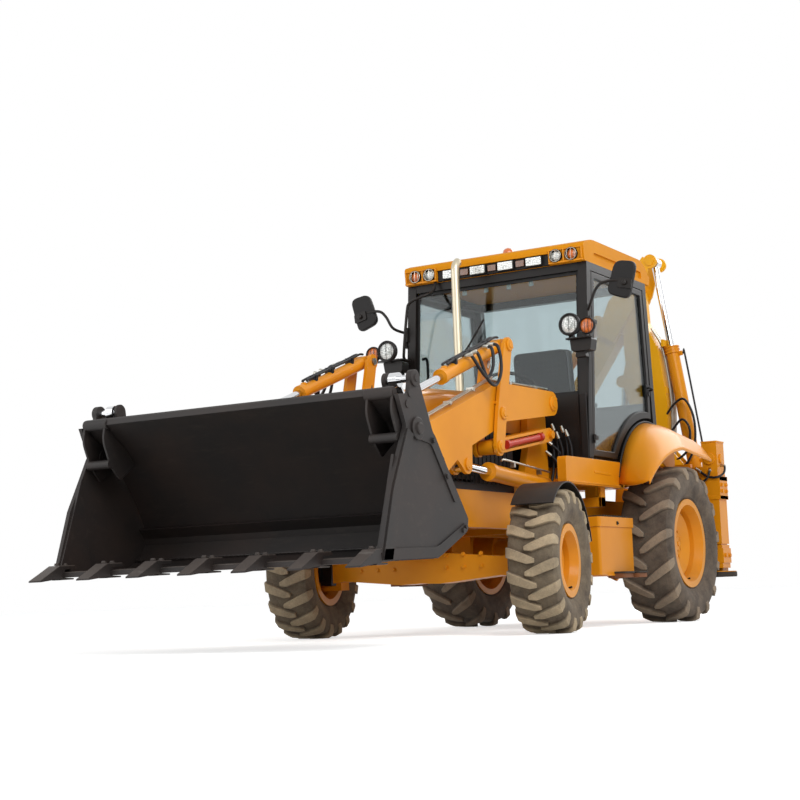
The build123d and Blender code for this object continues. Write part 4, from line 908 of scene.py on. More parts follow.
def wire_guard(form, centre, radius, bars, depth):
    """Round wire guard over a lamp that looks to the front: a ring and upright wires."""
    ring = [
        centre + Vector((radius * math.cos(a), -depth, radius * math.sin(a))) / 1000
        for a in (math.pi * k / 12 for k in range(25))
    ]
    swept(form, ring, 2.2, sides=6)
    for number in range(bars):
        across = radius * (2 * (number + 0.5) / bars - 1)
        tall = math.sqrt(max(radius ** 2 - across ** 2, 9))
        line = [
            centre + Vector((across, -depth + 4, -tall)) / 1000,
            centre + Vector((across, -depth - 5, 0)) / 1000,
            centre + Vector((across, -depth + 4, tall)) / 1000,
        ]
        swept(form, bent(line, 5), 1.8, sides=6)


form = bmesh.new()
for x in END_LAMPS:
    wire_guard(form, at(x, 1141, LAMP_Z), 44, 3, 2)
piece("lamp_guards_roof", form, "chassis", wire_steel)
print(len(WORK_LAMPS), "work lamps and", len(END_LAMPS), "end lamps")

# %% Beacon on the roof
form = bmesh.new()
turned(form, [(0, 50), (14, 50), (17, 46), (17, 0)], at(0, BEACON_Y, ROOF_TOP), (0, 0, 1))
piece("beacon_base", form, "chassis", black_plastic, bevel=1)
form = bmesh.new()
profile = [(12, 43), (30, 42), (46, 38), (58, 28), (65, 14), (67, 0)]
turned(form, profile, at(0, BEACON_Y, ROOF_TOP), (0, 0, 1))
piece("beacon_dome", form, "chassis", amber_lens)
print("beacon done")

# %% [markdown]
# ## Headlamps and mirrors
# Each headlamp is a ribbed black bowl on a bracket off the front post, with a smaller
# turn lamp beside it. The mirrors are blow-moulded heads on bent tube arms.

# %% Headlamps on their brackets
LAMP_PLACES = {"left": (712, 844, 2140, 2118), "right": (-800, -925, 2112, 2100)}
for side, hand in SIDES:
    near, far, lamp_z, turn_z = LAMP_PLACES[hand]
    lamp, turn_lamp = (near, 922, lamp_z), (far, 928, turn_z)
    form = bmesh.new()
    # the shelf, its plate on the cab post, two forks for the lamps, and the box below
    shelf = soft_corners(
        [
            (670, 930), (abs(far) + 20, 930), (abs(far) + 26, 960), (800, 1030), (776, 1150), (776, 1190),
            (750, 1190), (750, 1020), (670, 1004),
        ],
        (14, 14, 14, 30, 0, 0, 0, 30, 14),
    )
    slab(form, flipped(side, shelf), 2036, 2046, top_plane)
    slab(form, flipped(side, [(750, 1010), (776, 1010), (776, 1190), (750, 1190)]), 2020, 2062, top_plane)
    for x, z in ((abs(near), lamp_z - 84), (abs(far), turn_z - 54)):
        for edge in (-16, 10):
            outline = [(935, 2044), (985, 2044), (975, z + 14), (945, z + 14)]
            slab(form, outline, side * (x + edge), side * (x + edge + 6))
        swept(form, [at(side * (x - 18), 960, z + 4), at(side * (x + 18), 960, z + 4)], 6, sides=6)
    housing = soft_corners([(700, 1950), (846, 1950), (860, 2036), (690, 2036)], 14)
    slab(form, flipped(side, housing), 966, 1066, front_plane)
    outline = flipped(side, soft_corners([(716, 1910), (800, 1910), (790, 1956), (726, 1956)], 8))
    slab(form, outline, 990, 1050, front_plane)
    hex_heads(form, [at(side * 776, y, 2041) for y in (1110, 1165)], (side, 0, 0), across=13, height=8)
    piece("headlamp_bracket_" + hand, form, "chassis", black_enamel, bevel=2)
    form = bmesh.new()
    bowl = [
        (8, 0), (8, 62), (-6, 64), (-8, 74), (0, 82), (12, 82), (16, 77), (22, 81), (28, 76), (34, 78),
        (44, 68), (60, 42), (68, 18), (68, 0),
    ]
    turned(form, bowl, at(*lamp), (0, 1, 0), count=44)
    bowl = [
        (7, 0), (7, 52), (-4, 53), (-5, 58), (2, 62), (12, 62), (16, 57), (22, 59), (40, 44), (50, 14),
        (50, 0),
    ]
    turned(form, bowl, at(*turn_lamp), (0, 1, 0), count=32)
    piece("headlamp_bowls_" + hand, form, "chassis", black_plastic)
    form = bmesh.new()
    turned(form, [(-8, 0), (-7, 20), (-4, 44), (4, 62), (9, 62), (9, 0)], at(*lamp), (0, 1, 0), count=44)
    piece("headlamp_glass_" + hand, form, "chassis", clear_lens)
    form = bmesh.new()
    turned(form, [(-7, 0), (-6, 18), (-2, 38), (4, 52), (9, 52), (9, 0)], at(*turn_lamp), (0, 1, 0), count=32)
    piece("turn_lamp_glass_" + hand, form, "chassis", amber_lens)
    form = bmesh.new()
    wire_guard(form, at(turn_lamp[0], turn_lamp[1] - 2, turn_lamp[2]), 56, 4, 6)
    wire_guard(form, at(lamp[0], lamp[1] - 2, lamp[2]), 74, 3, 6)
    piece("lamp_guards_" + hand, form, "chassis", black_enamel)
print("headlamps done")

# %% Mirrors and the grab rail
mirror_face = metal("mirror_glass", "#8E979C", 0.04)
for side, hand in SIDES:
    form = bmesh.new()
    depth = 1104 if side > 0 else 1016
    head_line = flipped(side, [(926, 2362), (1100, 2296), (1170, 2566), (1006, 2596)])
    slab(form, soft_corners(head_line, 58), depth, depth + 42, front_plane)
    piece(
        "mirror_head_" + hand, form, "chassis", black_plastic, bevel=13,
        replaces=drawn_once(side, "mirrors"), segments=4,
    )
    form = bmesh.new()
    face_line = flipped(side, [(942, 2372), (1092, 2312), (1156, 2556), (1014, 2584)])
    slab(form, soft_corners(face_line, 48), depth + 40, depth + 46, front_plane)
    piece("mirror_glass_" + hand, form, "chassis", mirror_face, bevel=2)
    form = bmesh.new()
    arm = route(
        side,
        (
            (754, 1168, 2270), (796, depth + 14, 2300), (846, depth - 2, 2390), (900, depth - 4, 2440),
            (1000, depth + 6, 2448), (1072, depth + 20, 2420),
        ),
    )
    swept(form, bent(arm), 11, sides=12)
    slab(form, [(1140, 2205), (1196, 2205), (1202, 2315), (1150, 2315)], side * 742, side * 764)
    outline = flipped(side, soft_corners([(1020, 2396), (1124, 2370), (1132, 2440), (1032, 2466)], 14))
    slab(form, outline, depth - 10, depth + 4, front_plane)
    profile = [(-4, 20), (16, 18), (20, 12), (20, 0)]
    turned(form, profile, at(side * 1076, depth - 8, 2420), (0, -1, 0), count=24)
    hex_heads(form, [at(side * 764, 1170, z) for z in (2222, 2298)], (side, 0, 0), across=13, height=8)
    piece("mirror_arms_" + hand, form, "chassis", black_enamel, bevel=1)
form = bmesh.new()
rail = [at(x, y, z) for x, y, z in (
    (-722, 1130, 2050), (-708, 1030, 2056), (-695, 1006, 2120), (-655, 1000, 2400), (-632, 1003, 2470),
    (-560, 1010, 2500), (-500, 1030, 2520), (-490, 1120, 2560), (-490, 1172, 2640),
)]
swept(form, bent(rail), 11, sides=14)
turned(form, [(0, 26), (5, 26), (5, 0)], at(-722, 1132, 2050), (0, -1, 0), count=24)
piece("grab_rail", form, "chassis", black_enamel)
print("mirrors and grab rail done")

# %% [markdown]
# ## Hood, side panels and rear fenders
# The hood is one pressed sheet: it rises towards the cab and rolls over at its long
# edges and nose. The fenders are convex shells, so they are skinned through three
# sections and given a rolled lip.

# %% Hood skin
def skinned(form, rows, close=False):
    """Skin a grid of places, row by row."""
    grid = [[form.verts.new(p) for p in row] for row in rows]
    for first, second in zip(grid, grid[1:]):
        span = len(first)
        for i in range(span if close else span - 1):
            j = (i + 1) % span
            form.faces.new((first[i], first[j], second[j], second[i]))
    return grid


form = bmesh.new()
rows = []
for y, top, half in (
    (-940, 1455, 388), (-938, 1490, 396), (-930, 1512, 399), (-912, 1531, 400), (-885, 1546, 400),
    (-700, 1571, 400), (-480, 1600, 400), (0, 1627, 400), (500, 1654, 400), (1040, 1681, 400),
):
    radius = min(78, max(top - 1385, 20))
    edge = []
    for step in range(9):
        a = math.pi / 2 * step / 8
        edge.append((half - radius * (1 - math.cos(a)), top - 12 - radius * (1 - math.sin(a))))
    row = [at(-half, y, 1362)] + [at(-x, y, z) for x, z in edge]
    row += [at(x, y, top - 12 * (x / 322) ** 2) for x in (-240, -120, 0, 120, 240)]
    row += [at(x, y, z) for x, z in edge[::-1]] + [at(half, y, 1362)]
    rows.append(row)
grid = skinned(form, rows)
form.faces.new(grid[0])
form.faces.new(grid[-1][::-1])
form.faces.new([row[0] for row in grid] + [row[-1] for row in grid[::-1]])
piece("hood_skin", form, "chassis", hood_enamel, replaces=("hood",), smooth=50)
form = bmesh.new()
block(form, -392, 392, -932, 1030, 1350, 1363)
for side in (1, -1):
    for y in (-520, 300):
        slab(form, soft_box(y - 34, y + 34, 1352, 1404, 10), side * 399, side * 405)
        path = [at(side * 408, y - 18, 1388), at(side * 412, y, 1384), at(side * 408, y + 18, 1388)]
        swept(form, path, 4, sides=8)
piece("hood_seal_and_latches", form, "chassis", black_plastic, bevel=2)
print("hood skinned through", len(rows), "sections")

# %% Rear fenders with sills
FENDER_ROWS = (
    (760, ((-720, 1030), (-500, 1375), (-10, 1522), (455, 1470))),
    (850, ((-775, 1012), (-508, 1362), (-40, 1500), (455, 1446))),
    (930, ((-838, 1008), (-512, 1338), (-76, 1466), (455, 1410))),
    (1000, ((-868, 1016), (-516, 1296), (-112, 1408), (455, 1350))),
    (1060, ((-882, 1030), (-520, 1240), (-150, 1318), (455, 1262))),
)


def through(a, b, c, count):
    """Places on the circle through three points, from the first to the last."""
    (ax, ay), (bx, by), (cx, cy) = a, b, c
    aa, bb, cc = ax * ax + ay * ay, bx * bx + by * by, cx * cx + cy * cy
    d = 2 * (ax * (by - cy) + bx * (cy - ay) + cx * (ay - by))
    ux = (aa * (by - cy) + bb * (cy - ay) + cc * (ay - by)) / d
    uy = (aa * (cx - bx) + bb * (ax - cx) + cc * (bx - ax)) / d
    start, middle, end = (math.atan2(y - uy, x - ux) for x, y in (a, b, c))
    turn = (end - start) % (2 * math.pi)
    if (middle - start) % (2 * math.pi) > turn:
        turn -= 2 * math.pi
    radius = math.hypot(ax - ux, ay - uy)
    angles = [start + turn * i / count for i in range(count + 1)]
    return [(ux + radius * math.cos(angle), uy + radius * math.sin(angle)) for angle in angles]


for side, hand in SIDES:
    form = bmesh.new()
    rows = []
    for across, (a, b, c, d) in FENDER_ROWS:
        line = through(a, b, c, 22)
        line += [(c[0] + (d[0] - c[0]) * i / 8, c[1] + (d[1] - c[1]) * i / 8) for i in range(1, 9)]
        rows.append((across, line))
    upper = [[at(side * across, WHEELBASE + y, z) for y, z in line] for across, line in rows]
    upper.append([at(side * 1070, WHEELBASE + y * 0.998, z - 14) for y, z in rows[-1][1]])
    upper.append([at(side * 1066, WHEELBASE + y * 0.996, z - 30) for y, z in rows[-1][1]])
    skinned(form, upper)
    shell = piece(
        "fender_" + hand, form, "chassis", yellow_enamel, replaces=drawn_once(side, "rear_fenders"),
        smooth=60,
    )
    skin = shell.modifiers.new("sheet", "SOLIDIFY")
    skin.thickness = 0.009
    skin.offset = -1 if side > 0 else 1
    form = bmesh.new()
    top = rows[0][1]
    low = through((455, 1100), (-80, 1262), (-640, 990), 18)
    # the wall under the crown, the sill with its lip and trim strip, and the hanger to the frame
    outline = [(WHEELBASE + y, z - 4) for y, z in top] + [(WHEELBASE + y, z) for y, z in low]
    slab(form, outline, side * 752, side * 762)
    outline = soft_corners(
        [(640, 1188), (1060, 1190), (1600, 1190), (1640, 1000), (640, 1000)], (30, 0, 0, 10, 30),
    )
    slab(form, outline, side * 696, side * 762)
    slab(form, soft_box(660, 1590, 1010, 1020, 3), side * 760, side * 768)
    outline = soft_corners([(1120, 1090), (1420, 1082), (1420, 1098), (1120, 1106)], 4)
    slab(form, outline, side * 760, side * 766)
    block(form, side * 450.3, side * 710, 1340, 1420, 860, 930)
    block(form, side * 690, side * 710, 1340, 1420, 860, 1005)
    piece("fender_wall_and_sill_" + hand, form, "chassis", yellow_enamel, bevel=3)
    form = bmesh.new()
    swept(form, [at(side * 757, WHEELBASE + y, z + 7) for y, z in top[1:-2]], 9, sides=8)
    piece("fender_seal_" + hand, form, "chassis", black_plastic)
print("fenders done")

# %% [markdown]
# ## Tanks and steps
# A welded tank hangs on each rail: a folded body, a lid with a turned-down edge and a
# latch, a tread pad on top and a two-tread step below. The steps have worn to rusty
# steel at their edges.

# %% Tanks with lids and steps
rusty_steel = enamel("worn_step_steel", "#8A5733", "#6E4227", dust="#9A8570", dust_amount=0.6, roughness=0.72)
tread_pad = plastic("ribbed_tread_rubber", "#3B342E", 0.85, grain_mm=3.0, strength=0.4)


def tank_plan(side, x0, x1, y0, y1, radius):
    """A rectangle seen from above, rounded at its outer corners."""
    corners = [(x0, y0), (x1, y0), (x1, y1), (x0, y1)]
    return flipped(side, soft_corners(corners, (0, radius, radius, 0)))


for side, hand in SIDES:
    form = bmesh.new()
    # the folded body, its lid, the filler block, and the drain plate below
    slab(form, tank_plan(side, 450.3, 880, 880, 1490, 24), 366, 744, top_plane)
    slab(form, tank_plan(side, 478, 889, 872, 1498, 28), 700, 770, top_plane)
    block(form, side * 450.3, side * 490, 900, 980, 700, 800)
    slab(form, tank_plan(side, 500, 884, 1000, 1484, 10), 360, 372, top_plane)
    piece(
        "tank_" + hand, form, "chassis", yellow_enamel, bevel=4, replaces=drawn_once(side, "side_tanks"),
        segments=3,
    )
    form = bmesh.new()
    slab(form, tank_plan(side, 540, 862, 1030, 1482, 20), 769, 780, top_plane)
    for row in range(10):
        y = 1050 + row * 44
        block(form, side * 556, side * 846, y, y + 18, 779, 787)
    piece("tank_tread_" + hand, form, "chassis", tread_pad, bevel=2)
    form = bmesh.new()
    for y0, y1, x1 in ((1106, 1292, 966), (1300, 1482, 990)):
        slab(form, tank_plan(side, 812, x1, y0, y1, 26), 376, 388, top_plane)
    slab(form, flipped(side, [(860, 1120), (880, 1120), (880, 1480), (860, 1480)]), 340, 378, top_plane)
    piece("step_plates_" + hand, form, "chassis", tread_pad, bevel=3)
    form = bmesh.new()
    for y0, y1, x1 in ((1110, 1288, 956), (1304, 1478, 982)):
        slab(form, tank_plan(side, 830, x1, y0, y1, 22), 344, 376, top_plane)
    piece("step_bodies_" + hand, form, "chassis", rusty_steel, bevel=4)
    form = bmesh.new()
    slab(form, soft_box(1170, 1196, 716, 742, 8), side * 888, side * 893)
    swept(form, [at(side * 895, 1183, 735), at(side * 900, 1183, 722)], 4, sides=8)
    places = [at(side * x, 880, z) for x in (520, 600) for z in (640, 700)]
    hex_heads(form, places, (0, -1, 0), across=16, height=10)
    turned(form, [(0, 42), (22, 42), (26, 36), (26, 0)], at(side * 620, 960, 769), (0, 0, 1), count=24)
    piece("tank_fittings_" + hand, form, "chassis", black_enamel, bevel=1)
print("tanks and steps done")

# %% [markdown]
# ## Clam bucket
# The bucket is welded from plate and has been to work: its paint is dark, with brown
# dust in the corners and bright steel at the teeth. Wear strips, corner tubes, gussets,
# bolts and weld beads go over the CAD's shell.

# %% Worn bucket paint and edge steel
def worn_plate(name, paint, bare, dust):
    """Dark paint on thick plate, scoured to bare steel in streaks, with dust lying in it."""
    material, tree, place = new_material(name)
    stretched = add(tree, "ShaderNodeMapping", {"Vector": place, "Scale": (1.0, 3.0, 5.0)})
    streaks = add(tree, "ShaderNodeTexNoise", {
        "Vector": stretched, "Scale": 5.0, "Detail": 8.0, "Roughness": 0.7,
    })
    scour = add(tree, "ShaderNodeMapRange", {
        "Value": streaks, "From Min": 0.56, "From Max": 0.78, "To Max": 0.5,
    })
    cloud = add(tree, "ShaderNodeTexNoise", {"Vector": place, "Scale": 2.1, "Detail": 7.0, "Roughness": 0.6})
    film = add(tree, "ShaderNodeMapRange", {
        "Value": cloud, "From Min": 0.42, "From Max": 0.75, "To Max": 0.55,
    })
    base = add(tree, "ShaderNodeMix", {"Factor": scour, 6: colour(paint), 7: colour(bare)}, data_type="RGBA")
    dusty = add(tree, "ShaderNodeMix", {
        "Factor": film, 6: base.outputs[2], 7: colour(dust),
    }, data_type="RGBA")
    fine = add(tree, "ShaderNodeTexNoise", {"Vector": place, "Scale": 150.0, "Detail": 3.0})
    bump = add(tree, "ShaderNodeBump", {"Height": fine, "Strength": 0.12, "Distance": 0.002})
    shader = add(tree, "ShaderNodeBsdfPrincipled", {
        "Base Color": dusty.outputs[2], "Roughness": 0.62, "Normal": bump,
    })
    add(tree, "ShaderNodeOutputMaterial", {"Surface": shader})
    return material


bucket_plate = worn_plate("worn_bucket_paint", "#140E0C", "#3C322C", "#33231B")
edge_steel = worn_plate("scoured_edge_steel", "#3A322E", "#8A8580", "#4E4339")
for name in ("bucket_back", "bucket_clam"):
    nodes[name].data.materials[0] = bucket_plate
print("bucket repainted")

# %% Strips and bosses on the clam's sides
CLAM_SIDE = 1099
form = bmesh.new()
# a strip up the back edge of the side plate, one along its floor, and a brace down from the pivot
outline = soft_corners(
    [(-2100, 1150), (-2268, 828), (-2392, 458), (-2300, 458), (-2190, 810), (-2040, 1120)],
    (0, 40, 8, 8, 40, 0),
)
slab(form, outline, CLAM_SIDE, CLAM_SIDE + 11)
outline = soft_corners(
    [(-2392, 458), (-1812, 474), (-1500, 608), (-1500, 664), (-1826, 530), (-2372, 516)],
    (8, 40, 20, 8, 40, 8),
)
slab(form, outline, CLAM_SIDE, CLAM_SIDE + 11)
outline = soft_corners(
    [(-1966, 1196), (-1812, 1136), (-1560, 800), (-1606, 770), (-1850, 1080), (-1990, 1100)], 18,
)
slab(form, outline, CLAM_SIDE, CLAM_SIDE + 9)
# the gusset inside the corner, the caps of the pivot and of the cylinder's eye, bolts and plugs
slab(form, [(-2200, 1010), (-2392, 470), (-2120, 476)], 1060, 1076)
profile = [(0, 62), (12, 62), (16, 56), (16, 34), (26, 32), (30, 26), (30, 0)]
turned(form, profile, at(CLAM_SIDE, -1990, 1155), (1, 0, 0), count=36)
pin_cap(form, at(CLAM_SIDE, -2000, 1425), (1, 0, 0), 46, 10, 20, 20)
places = [at(1108, y, z) for y, z in ((-1508, 640), (-1540, 622), (-1838, 1100), (-1700, 912))]
hex_heads(form, places, (1, 0, 0), across=26, height=16)
for y, z in ((-2080, 1280), (-2050, 1340)):
    turned(form, [(0, 22), (6, 22), (6, 0)], at(CLAM_SIDE, y, z), (1, 0, 0), count=20)
mirrored(form)
piece("clam_side_strips", form, "bucket_clam", bucket_plate, bevel=3)
print("side strips done")

# %% Cutting edge with its teeth and bolts
form = bmesh.new()
slab(form, [(-2404, 448), (-2326, 450), (-2318, 484), (-2404, 478)], -1098, 1098)
TOOTH_COUNT, TOOTH_WIDTH, EDGE_WIDTH = 7, 90, 2200
TOOTH_STEP = (EDGE_WIDTH - TOOTH_WIDTH) / (TOOTH_COUNT - 1)
TOOTH = [(-2392, 498), (-2318, 502), (-2312, 520), (-2440, 516), (-2598, 434), (-2598, 428), (-2440, 486)]
tooth_starts = [number * TOOTH_STEP - EDGE_WIDTH / 2 for number in range(TOOTH_COUNT)]
for x in tooth_starts:
    slab(form, TOOTH, x + 2, x + 88)
    slab(form, [(-2404, 449), (-2310, 446), (-2310, 438), (-2430, 434)], x + 14, x + 76)
piece("clam_cutting_edge", form, "bucket_clam", edge_steel, bevel=4)
form = bmesh.new()
for x in tooth_starts:
    places = [at(x + TOOTH_WIDTH / 2, y, 521) for y in (-2420, -2350)]
    hex_heads(form, places, (0, -0.05, 1), across=22, height=10)
piece("tooth_bolts", form, "bucket_clam", edge_steel)
print(TOOTH_COUNT, "teeth, one every", round(TOOTH_STEP, 1), "mm")

# %% Welds, gussets, ribs and pin caps
form = bmesh.new()
floor_weld = [at(x, -1712 + 3 * math.sin(x / 9), 546 + 1.5 * math.sin(x / 5)) for x in range(-1070, 1071, 12)]
swept(form, floor_weld, 6, sides=6)
for x in (-1071, 1071):
    swept(form, [at(x, y, 480 + (y + 2380) * 0.03) for y in range(-2380, -1820, 20)], 6, sides=6)
piece("clam_welds", form, "bucket_clam", bucket_plate)
form = bmesh.new()
for side in (1, -1):
    for x in (905, 1058):
        face = soft_corners(
            [(-2170, 1326), (-2188, 1240), (-2120, 1090), (-2040, 1010), (-1900, 1105), (-1985, 1200)],
            (0, 50, 60, 20, 0, 0),
        )
        slab(form, face, side * (x - 7), side * (x + 7))
    turned(form, [(-86, 26), (86, 26)], at(side * 981, -2128, 1104), (1, 0, 0), count=28)
piece("board_end_gussets", form, "bucket_back", bucket_plate, bevel=3)
form = bmesh.new()
for side in (1, -1):
    turned(form, [(-88, 31), (-84, 34), (84, 34), (88, 31)], at(side * 975, -2150, 1338), (1, 0, 0), count=28)
for x in range(-780, 781, 260):
    outline = [(-2164, 1352), (-1858, 1118), (-1646, 812), (-1616, 812), (-1812, 1150), (-2140, 1372)]
    slab(form, outline, x - 6, x + 6)
slab(form, [(-2176, 1330), (-2150, 1326), (-2128, 1352), (-2150, 1374), (-2168, 1362)], -1058, 1058)
piece("board_rim_and_ribs", form, "bucket_back", bucket_plate, bevel=3)
form = bmesh.new()
for side in (1, -1):
    for x in (430, 630):
        path = [at(side * x, y, z) for y, z in ((-1905, 1150), (-1901.634, 1150), (-1890, 1152))]
        swept(form, path, 5, sides=6)
    for y, z, r in ((-1455, 1340, 34), (-1585, 870, 40)):
        pin_cap(form, at(side * 634, y, z), (side, 0, 0), r, 8, r - 18, 18, count=28)
piece("bucket_pin_caps", form, "bucket_back", bucket_plate, bevel=1)
print("bucket trim done")

# %% [markdown]
# ## Loader arms
# Steel tubes run along the arms in clips and carry oil to the cylinders; short rubber
# hoses bridge the pivots. Each hose starts and ends on the same moving body, so nothing
# tears when the loader lifts. Every pin gets a cap and a lock bolt.

# %% Hose rubber, fittings and tube steel
hose_rubber = plastic("braided_hose_rubber", "#17171A", 0.45, grain_mm=2.5, strength=0.25)
zinc_fitting = metal("zinc_plated_fittings", "#B9B7AE", 0.3)


def hose(name, body, points, radius=9):
    """A rubber hose on a smooth line through its places, with a crimped steel end at each."""
    line = bent(points, 10)
    form = bmesh.new()
    swept(form, line, radius, sides=12)
    piece(name, form, body, hose_rubber, smooth=60)
    form = bmesh.new()
    for end, inner in ((line[0], line[4]), (line[-1], line[-5])):
        run = (inner - end).normalized()
        turned(form, [(-16, radius * 0.9), (-4, radius * 0.9)], end, run, count=6)
        profile = [(-4, radius * 1.15), (24, radius * 1.35), (34, radius * 1.35), (36, radius * 1.1)]
        turned(form, profile, end, run, count=16)
    piece(name + "_ends", form, body, zinc_fitting, smooth=40)


print(hose_rubber.name, "and", zinc_fitting.name, "ready")

# %% Arm tubes and pin caps
for side, hand in SIDES:
    form = bmesh.new()
    for x in (500, 528):
        path = [(880, 1690), (820, 1690), (60, 1676), (-20, 1664), (-960, 1322), (-1010, 1290)]
        swept(form, bent([at(side * x, y, z) for y, z in path], 6), 7, sides=10)
    for y, z in ((700, 1684), (300, 1676), (-240, 1586), (-560, 1470), (-860, 1361)):
        block(form, side * 488, side * 540, y - 14, y + 14, z - 14, z + 11)
    piece("arm_tubes_" + hand, form, "loader_arms", zinc_fitting, bevel=1.5)
    form = bmesh.new()
    for y, z, r in ((854, 1580, 52), (5, 1440, 48)):
        for x, out in ((ARM_OUTER, 1), (ARM_INNER, -1)):
            pin_cap(form, at(side * x, y, z), (side * out, 0, 0), r, 9, r - 20, 20)
        places = [at(side * (ARM_OUTER + 9), y + 0.62 * r, z + 0.62 * r)]
        hex_heads(form, places, (side, 0, 0), across=14, height=12)
    profile = [(0, 38), (4, 38), (4, 24), (6, 22), (6, 0)]
    turned(form, profile, at(side * 592, -455, 1083), (side, 0, 0), count=32)
    piece("arm_pin_caps_" + hand, form, "loader_arms", yellow_enamel, bevel=1)
print("arm tubes and pin caps done")

# %% Lever pin caps
for side, hand in SIDES:
    form = bmesh.new()
    for y, z in ((-55, 1215), (5, 1440), (135, 1910)):
        pin_cap(form, at(side * 620, y, z), (side, 0, 0), 42, 8, 22, 18)
        hex_heads(form, [at(side * 626, y + 30, z - 14)], (side, 0, 0), across=12, height=9)
    block(form, side * 455, side * 605, -60, -40, 1500, 1518)
    piece("lever_pin_caps_" + hand, form, "loader_levers", yellow_enamel, bevel=1)
print("lever pin caps done")

# %% Tubes, ports and hoses of the tilt and lever cylinders
for side, hand in SIDES:
    form = bmesh.new()
    for x in (512, 548):
        line = ((110, 1965), (60, 1958), (-80, 1904), (-560, 1730), (-600, 1706))
        swept(form, bent([at(side * x, y, z) for y, z in line], 6), 8, sides=10)
    for y, z in ((-40, 1912), (-300, 1818), (-500, 1744)):
        block(form, side * 500, side * 560, y - 12, y + 12, z - 32, z + 12)
    piece("tilt_barrel_tubes_" + hand, form, "tilt_barrels", hose_rubber, bevel=1.5)
    form = bmesh.new()
    for y, z in ((-610, 1660), (100, 1900)):
        turned(form, [(0, 20), (34, 20), (38, 16), (38, 0)], at(side * 530, y, z), (0, -0.33, 0.94), count=20)
    piece("tilt_barrel_ports_" + hand, form, "tilt_barrels", yellow_enamel, bevel=1)
    line = (
        (572, -130, 1872), (634, -150, 1850), (648, -170, 1730), (646, -250, 1650), (640, -330, 1690),
        (600, -370, 1780), (572, -380, 1784),
    )
    hose("tilt_hose_a_" + hand, "tilt_barrels", route(side, line), radius=11)
    line = (
        (572, -60, 1896), (640, -70, 1870), (662, -80, 1720), (660, -160, 1610), (650, -260, 1640),
        (610, -300, 1800), (572, -310, 1808),
    )
    hose("tilt_hose_b_" + hand, "tilt_barrels", route(side, line), radius=11)
    path = route(side, ((468, 20, 1520), (440, 60, 1600), (446, 100, 1720), (468, 118, 1800)))
    hose("lever_hose_a_" + hand, "loader_levers", path)
print("tilt and lever hoses done")

# %% Tower pin caps and valve hoses
VALVE_HOSES = ((486, 1036, 40), (520, 1040, 0), (556, 1034, 60), (592, 1040, 20), (628, 1030, 50))
for side, hand in SIDES:
    form = bmesh.new()
    pin_cap(form, at(side * 606, 800, 1000), (side, 0, 0), 46, 10, 22, 20)
    places = [at(side * 455, y, z) for y in (620, 960) for z in (990, 1060)]
    hex_heads(form, places, (side, 0, 0), across=28, height=16)
    piece("tower_pin_caps_" + hand, form, "chassis", yellow_enamel, bevel=1)
    for number, (x, y, drop) in enumerate(VALVE_HOSES, 1):
        line = [
            (x - 16, y - 30, 1440 - drop), (x, y - 4, 1360 - drop), (x + 6, y + 4, 1240),
            (x - 4, y, 1110), (x - 20, y - 40, 1000 - drop / 2),
        ]
        hose("valve_hose_" + str(number) + "_" + hand, "chassis", route(side, line), radius=10)
    path = route(
        side, ((470, 980, 1250), (520, 1020, 1180), (560, 1010, 1050), (560, 960, 960), (520, 930, 900)),
    )
    hose("tower_hose_c_" + hand, "chassis", path)
    path = route(
        side, ((470, 1000, 1330), (540, 1046, 1240), (590, 1040, 1090), (590, 990, 940), (545, 950, 880)),
    )
    hose("tower_hose_d_" + hand, "chassis", path)
    form = bmesh.new()
    path = bent([at(side * 582, y, z) for y, z in ((760, 1090), (640, 1098), (100, 1138), (20, 1130))], 6)
    swept(form, path, 7, sides=10)
    for y, z in ((600, 1086), (200, 1116)):
        block(form, side * 560, side * 592, y - 10, y + 10, z - 20, z + 12)
    piece("lift_barrel_tube_" + hand, form, "lift_barrels", zinc_fitting, bevel=1)
print("loader trim done")

# %% [markdown]
# ## Digging arm and stabilisers
# The boom folds up behind the cab. Its hoses loop out beside the ram, and each
# stabiliser tube carries ports with short hoses, and bolted wear pads at its collar.

# %% Boom bosses, clips, tubes and hoses
form = bmesh.new()
for reach, height, r in ((300, 660, 62), (270, 2728, 60)):
    for depth, out in ((92, 1), (-92, -1)):
        profile = [(0, r), (6, r), (10, r - 6), (10, 0)]
        turned(form, profile, hoe_plane(reach, height, depth), (0, out, 0), count=32)
for reach, height in ((56, 1120), (16, 1500), (16, 1900), (16, 2300)):
    slab(form, soft_box(reach, reach + 24, height - 30, height + 30, 6), -88, 88, hoe_plane)
# the bosses and clips take the boom's lighter enamel, painted light like the boom itself
piece("boom_bosses_and_clips", form, "boom", painted_light_enamel, bevel=2)
form = bmesh.new()
for depth in (-46, -16, 16, 46):
    path = [(60, 1060), (30, 1400), (8, 1810), (60, 2250), (150, 2440)]
    swept(form, bent([hoe_plane(a - 14, b, depth) for a, b in path], 6), 8, sides=10)
piece("boom_tubes", form, "boom", zinc_fitting)
BOOM_LOOPS = {
    "boom_loop_a": (
        (60, 1500, -60), (-20, 1560, -92), (-110, 1640, -100), (-170, 1560, -96), (-150, 1400, -90),
        (-60, 1320, -80), (50, 1300, -60),
    ),
    "boom_loop_b": (
        (60, 1660, -70), (-60, 1780, -104), (-150, 1800, -110), (-215, 1640, -104), (-205, 1420, -96),
        (-110, 1260, -86), (60, 1220, -66),
    ),
}
for name, line in BOOM_LOOPS.items():
    hose(name, "boom", [hoe_plane(*spot) for spot in line], radius=10)
print("boom trim done")

# %% Gland, ports and tube of the dipper ram
form = bmesh.new()
ram_from, ram_to = Vector((-175, 1180)), Vector((89, 3000))
run = (ram_to - ram_from).normalized()
across = Vector((-run.y, run.x))


def on_ram(along, out):
    """Reach and height of a place on the dipper ram: so far from its foot, and so far out."""
    spot = ram_from + run * along + across * out
    return spot.x, spot.y


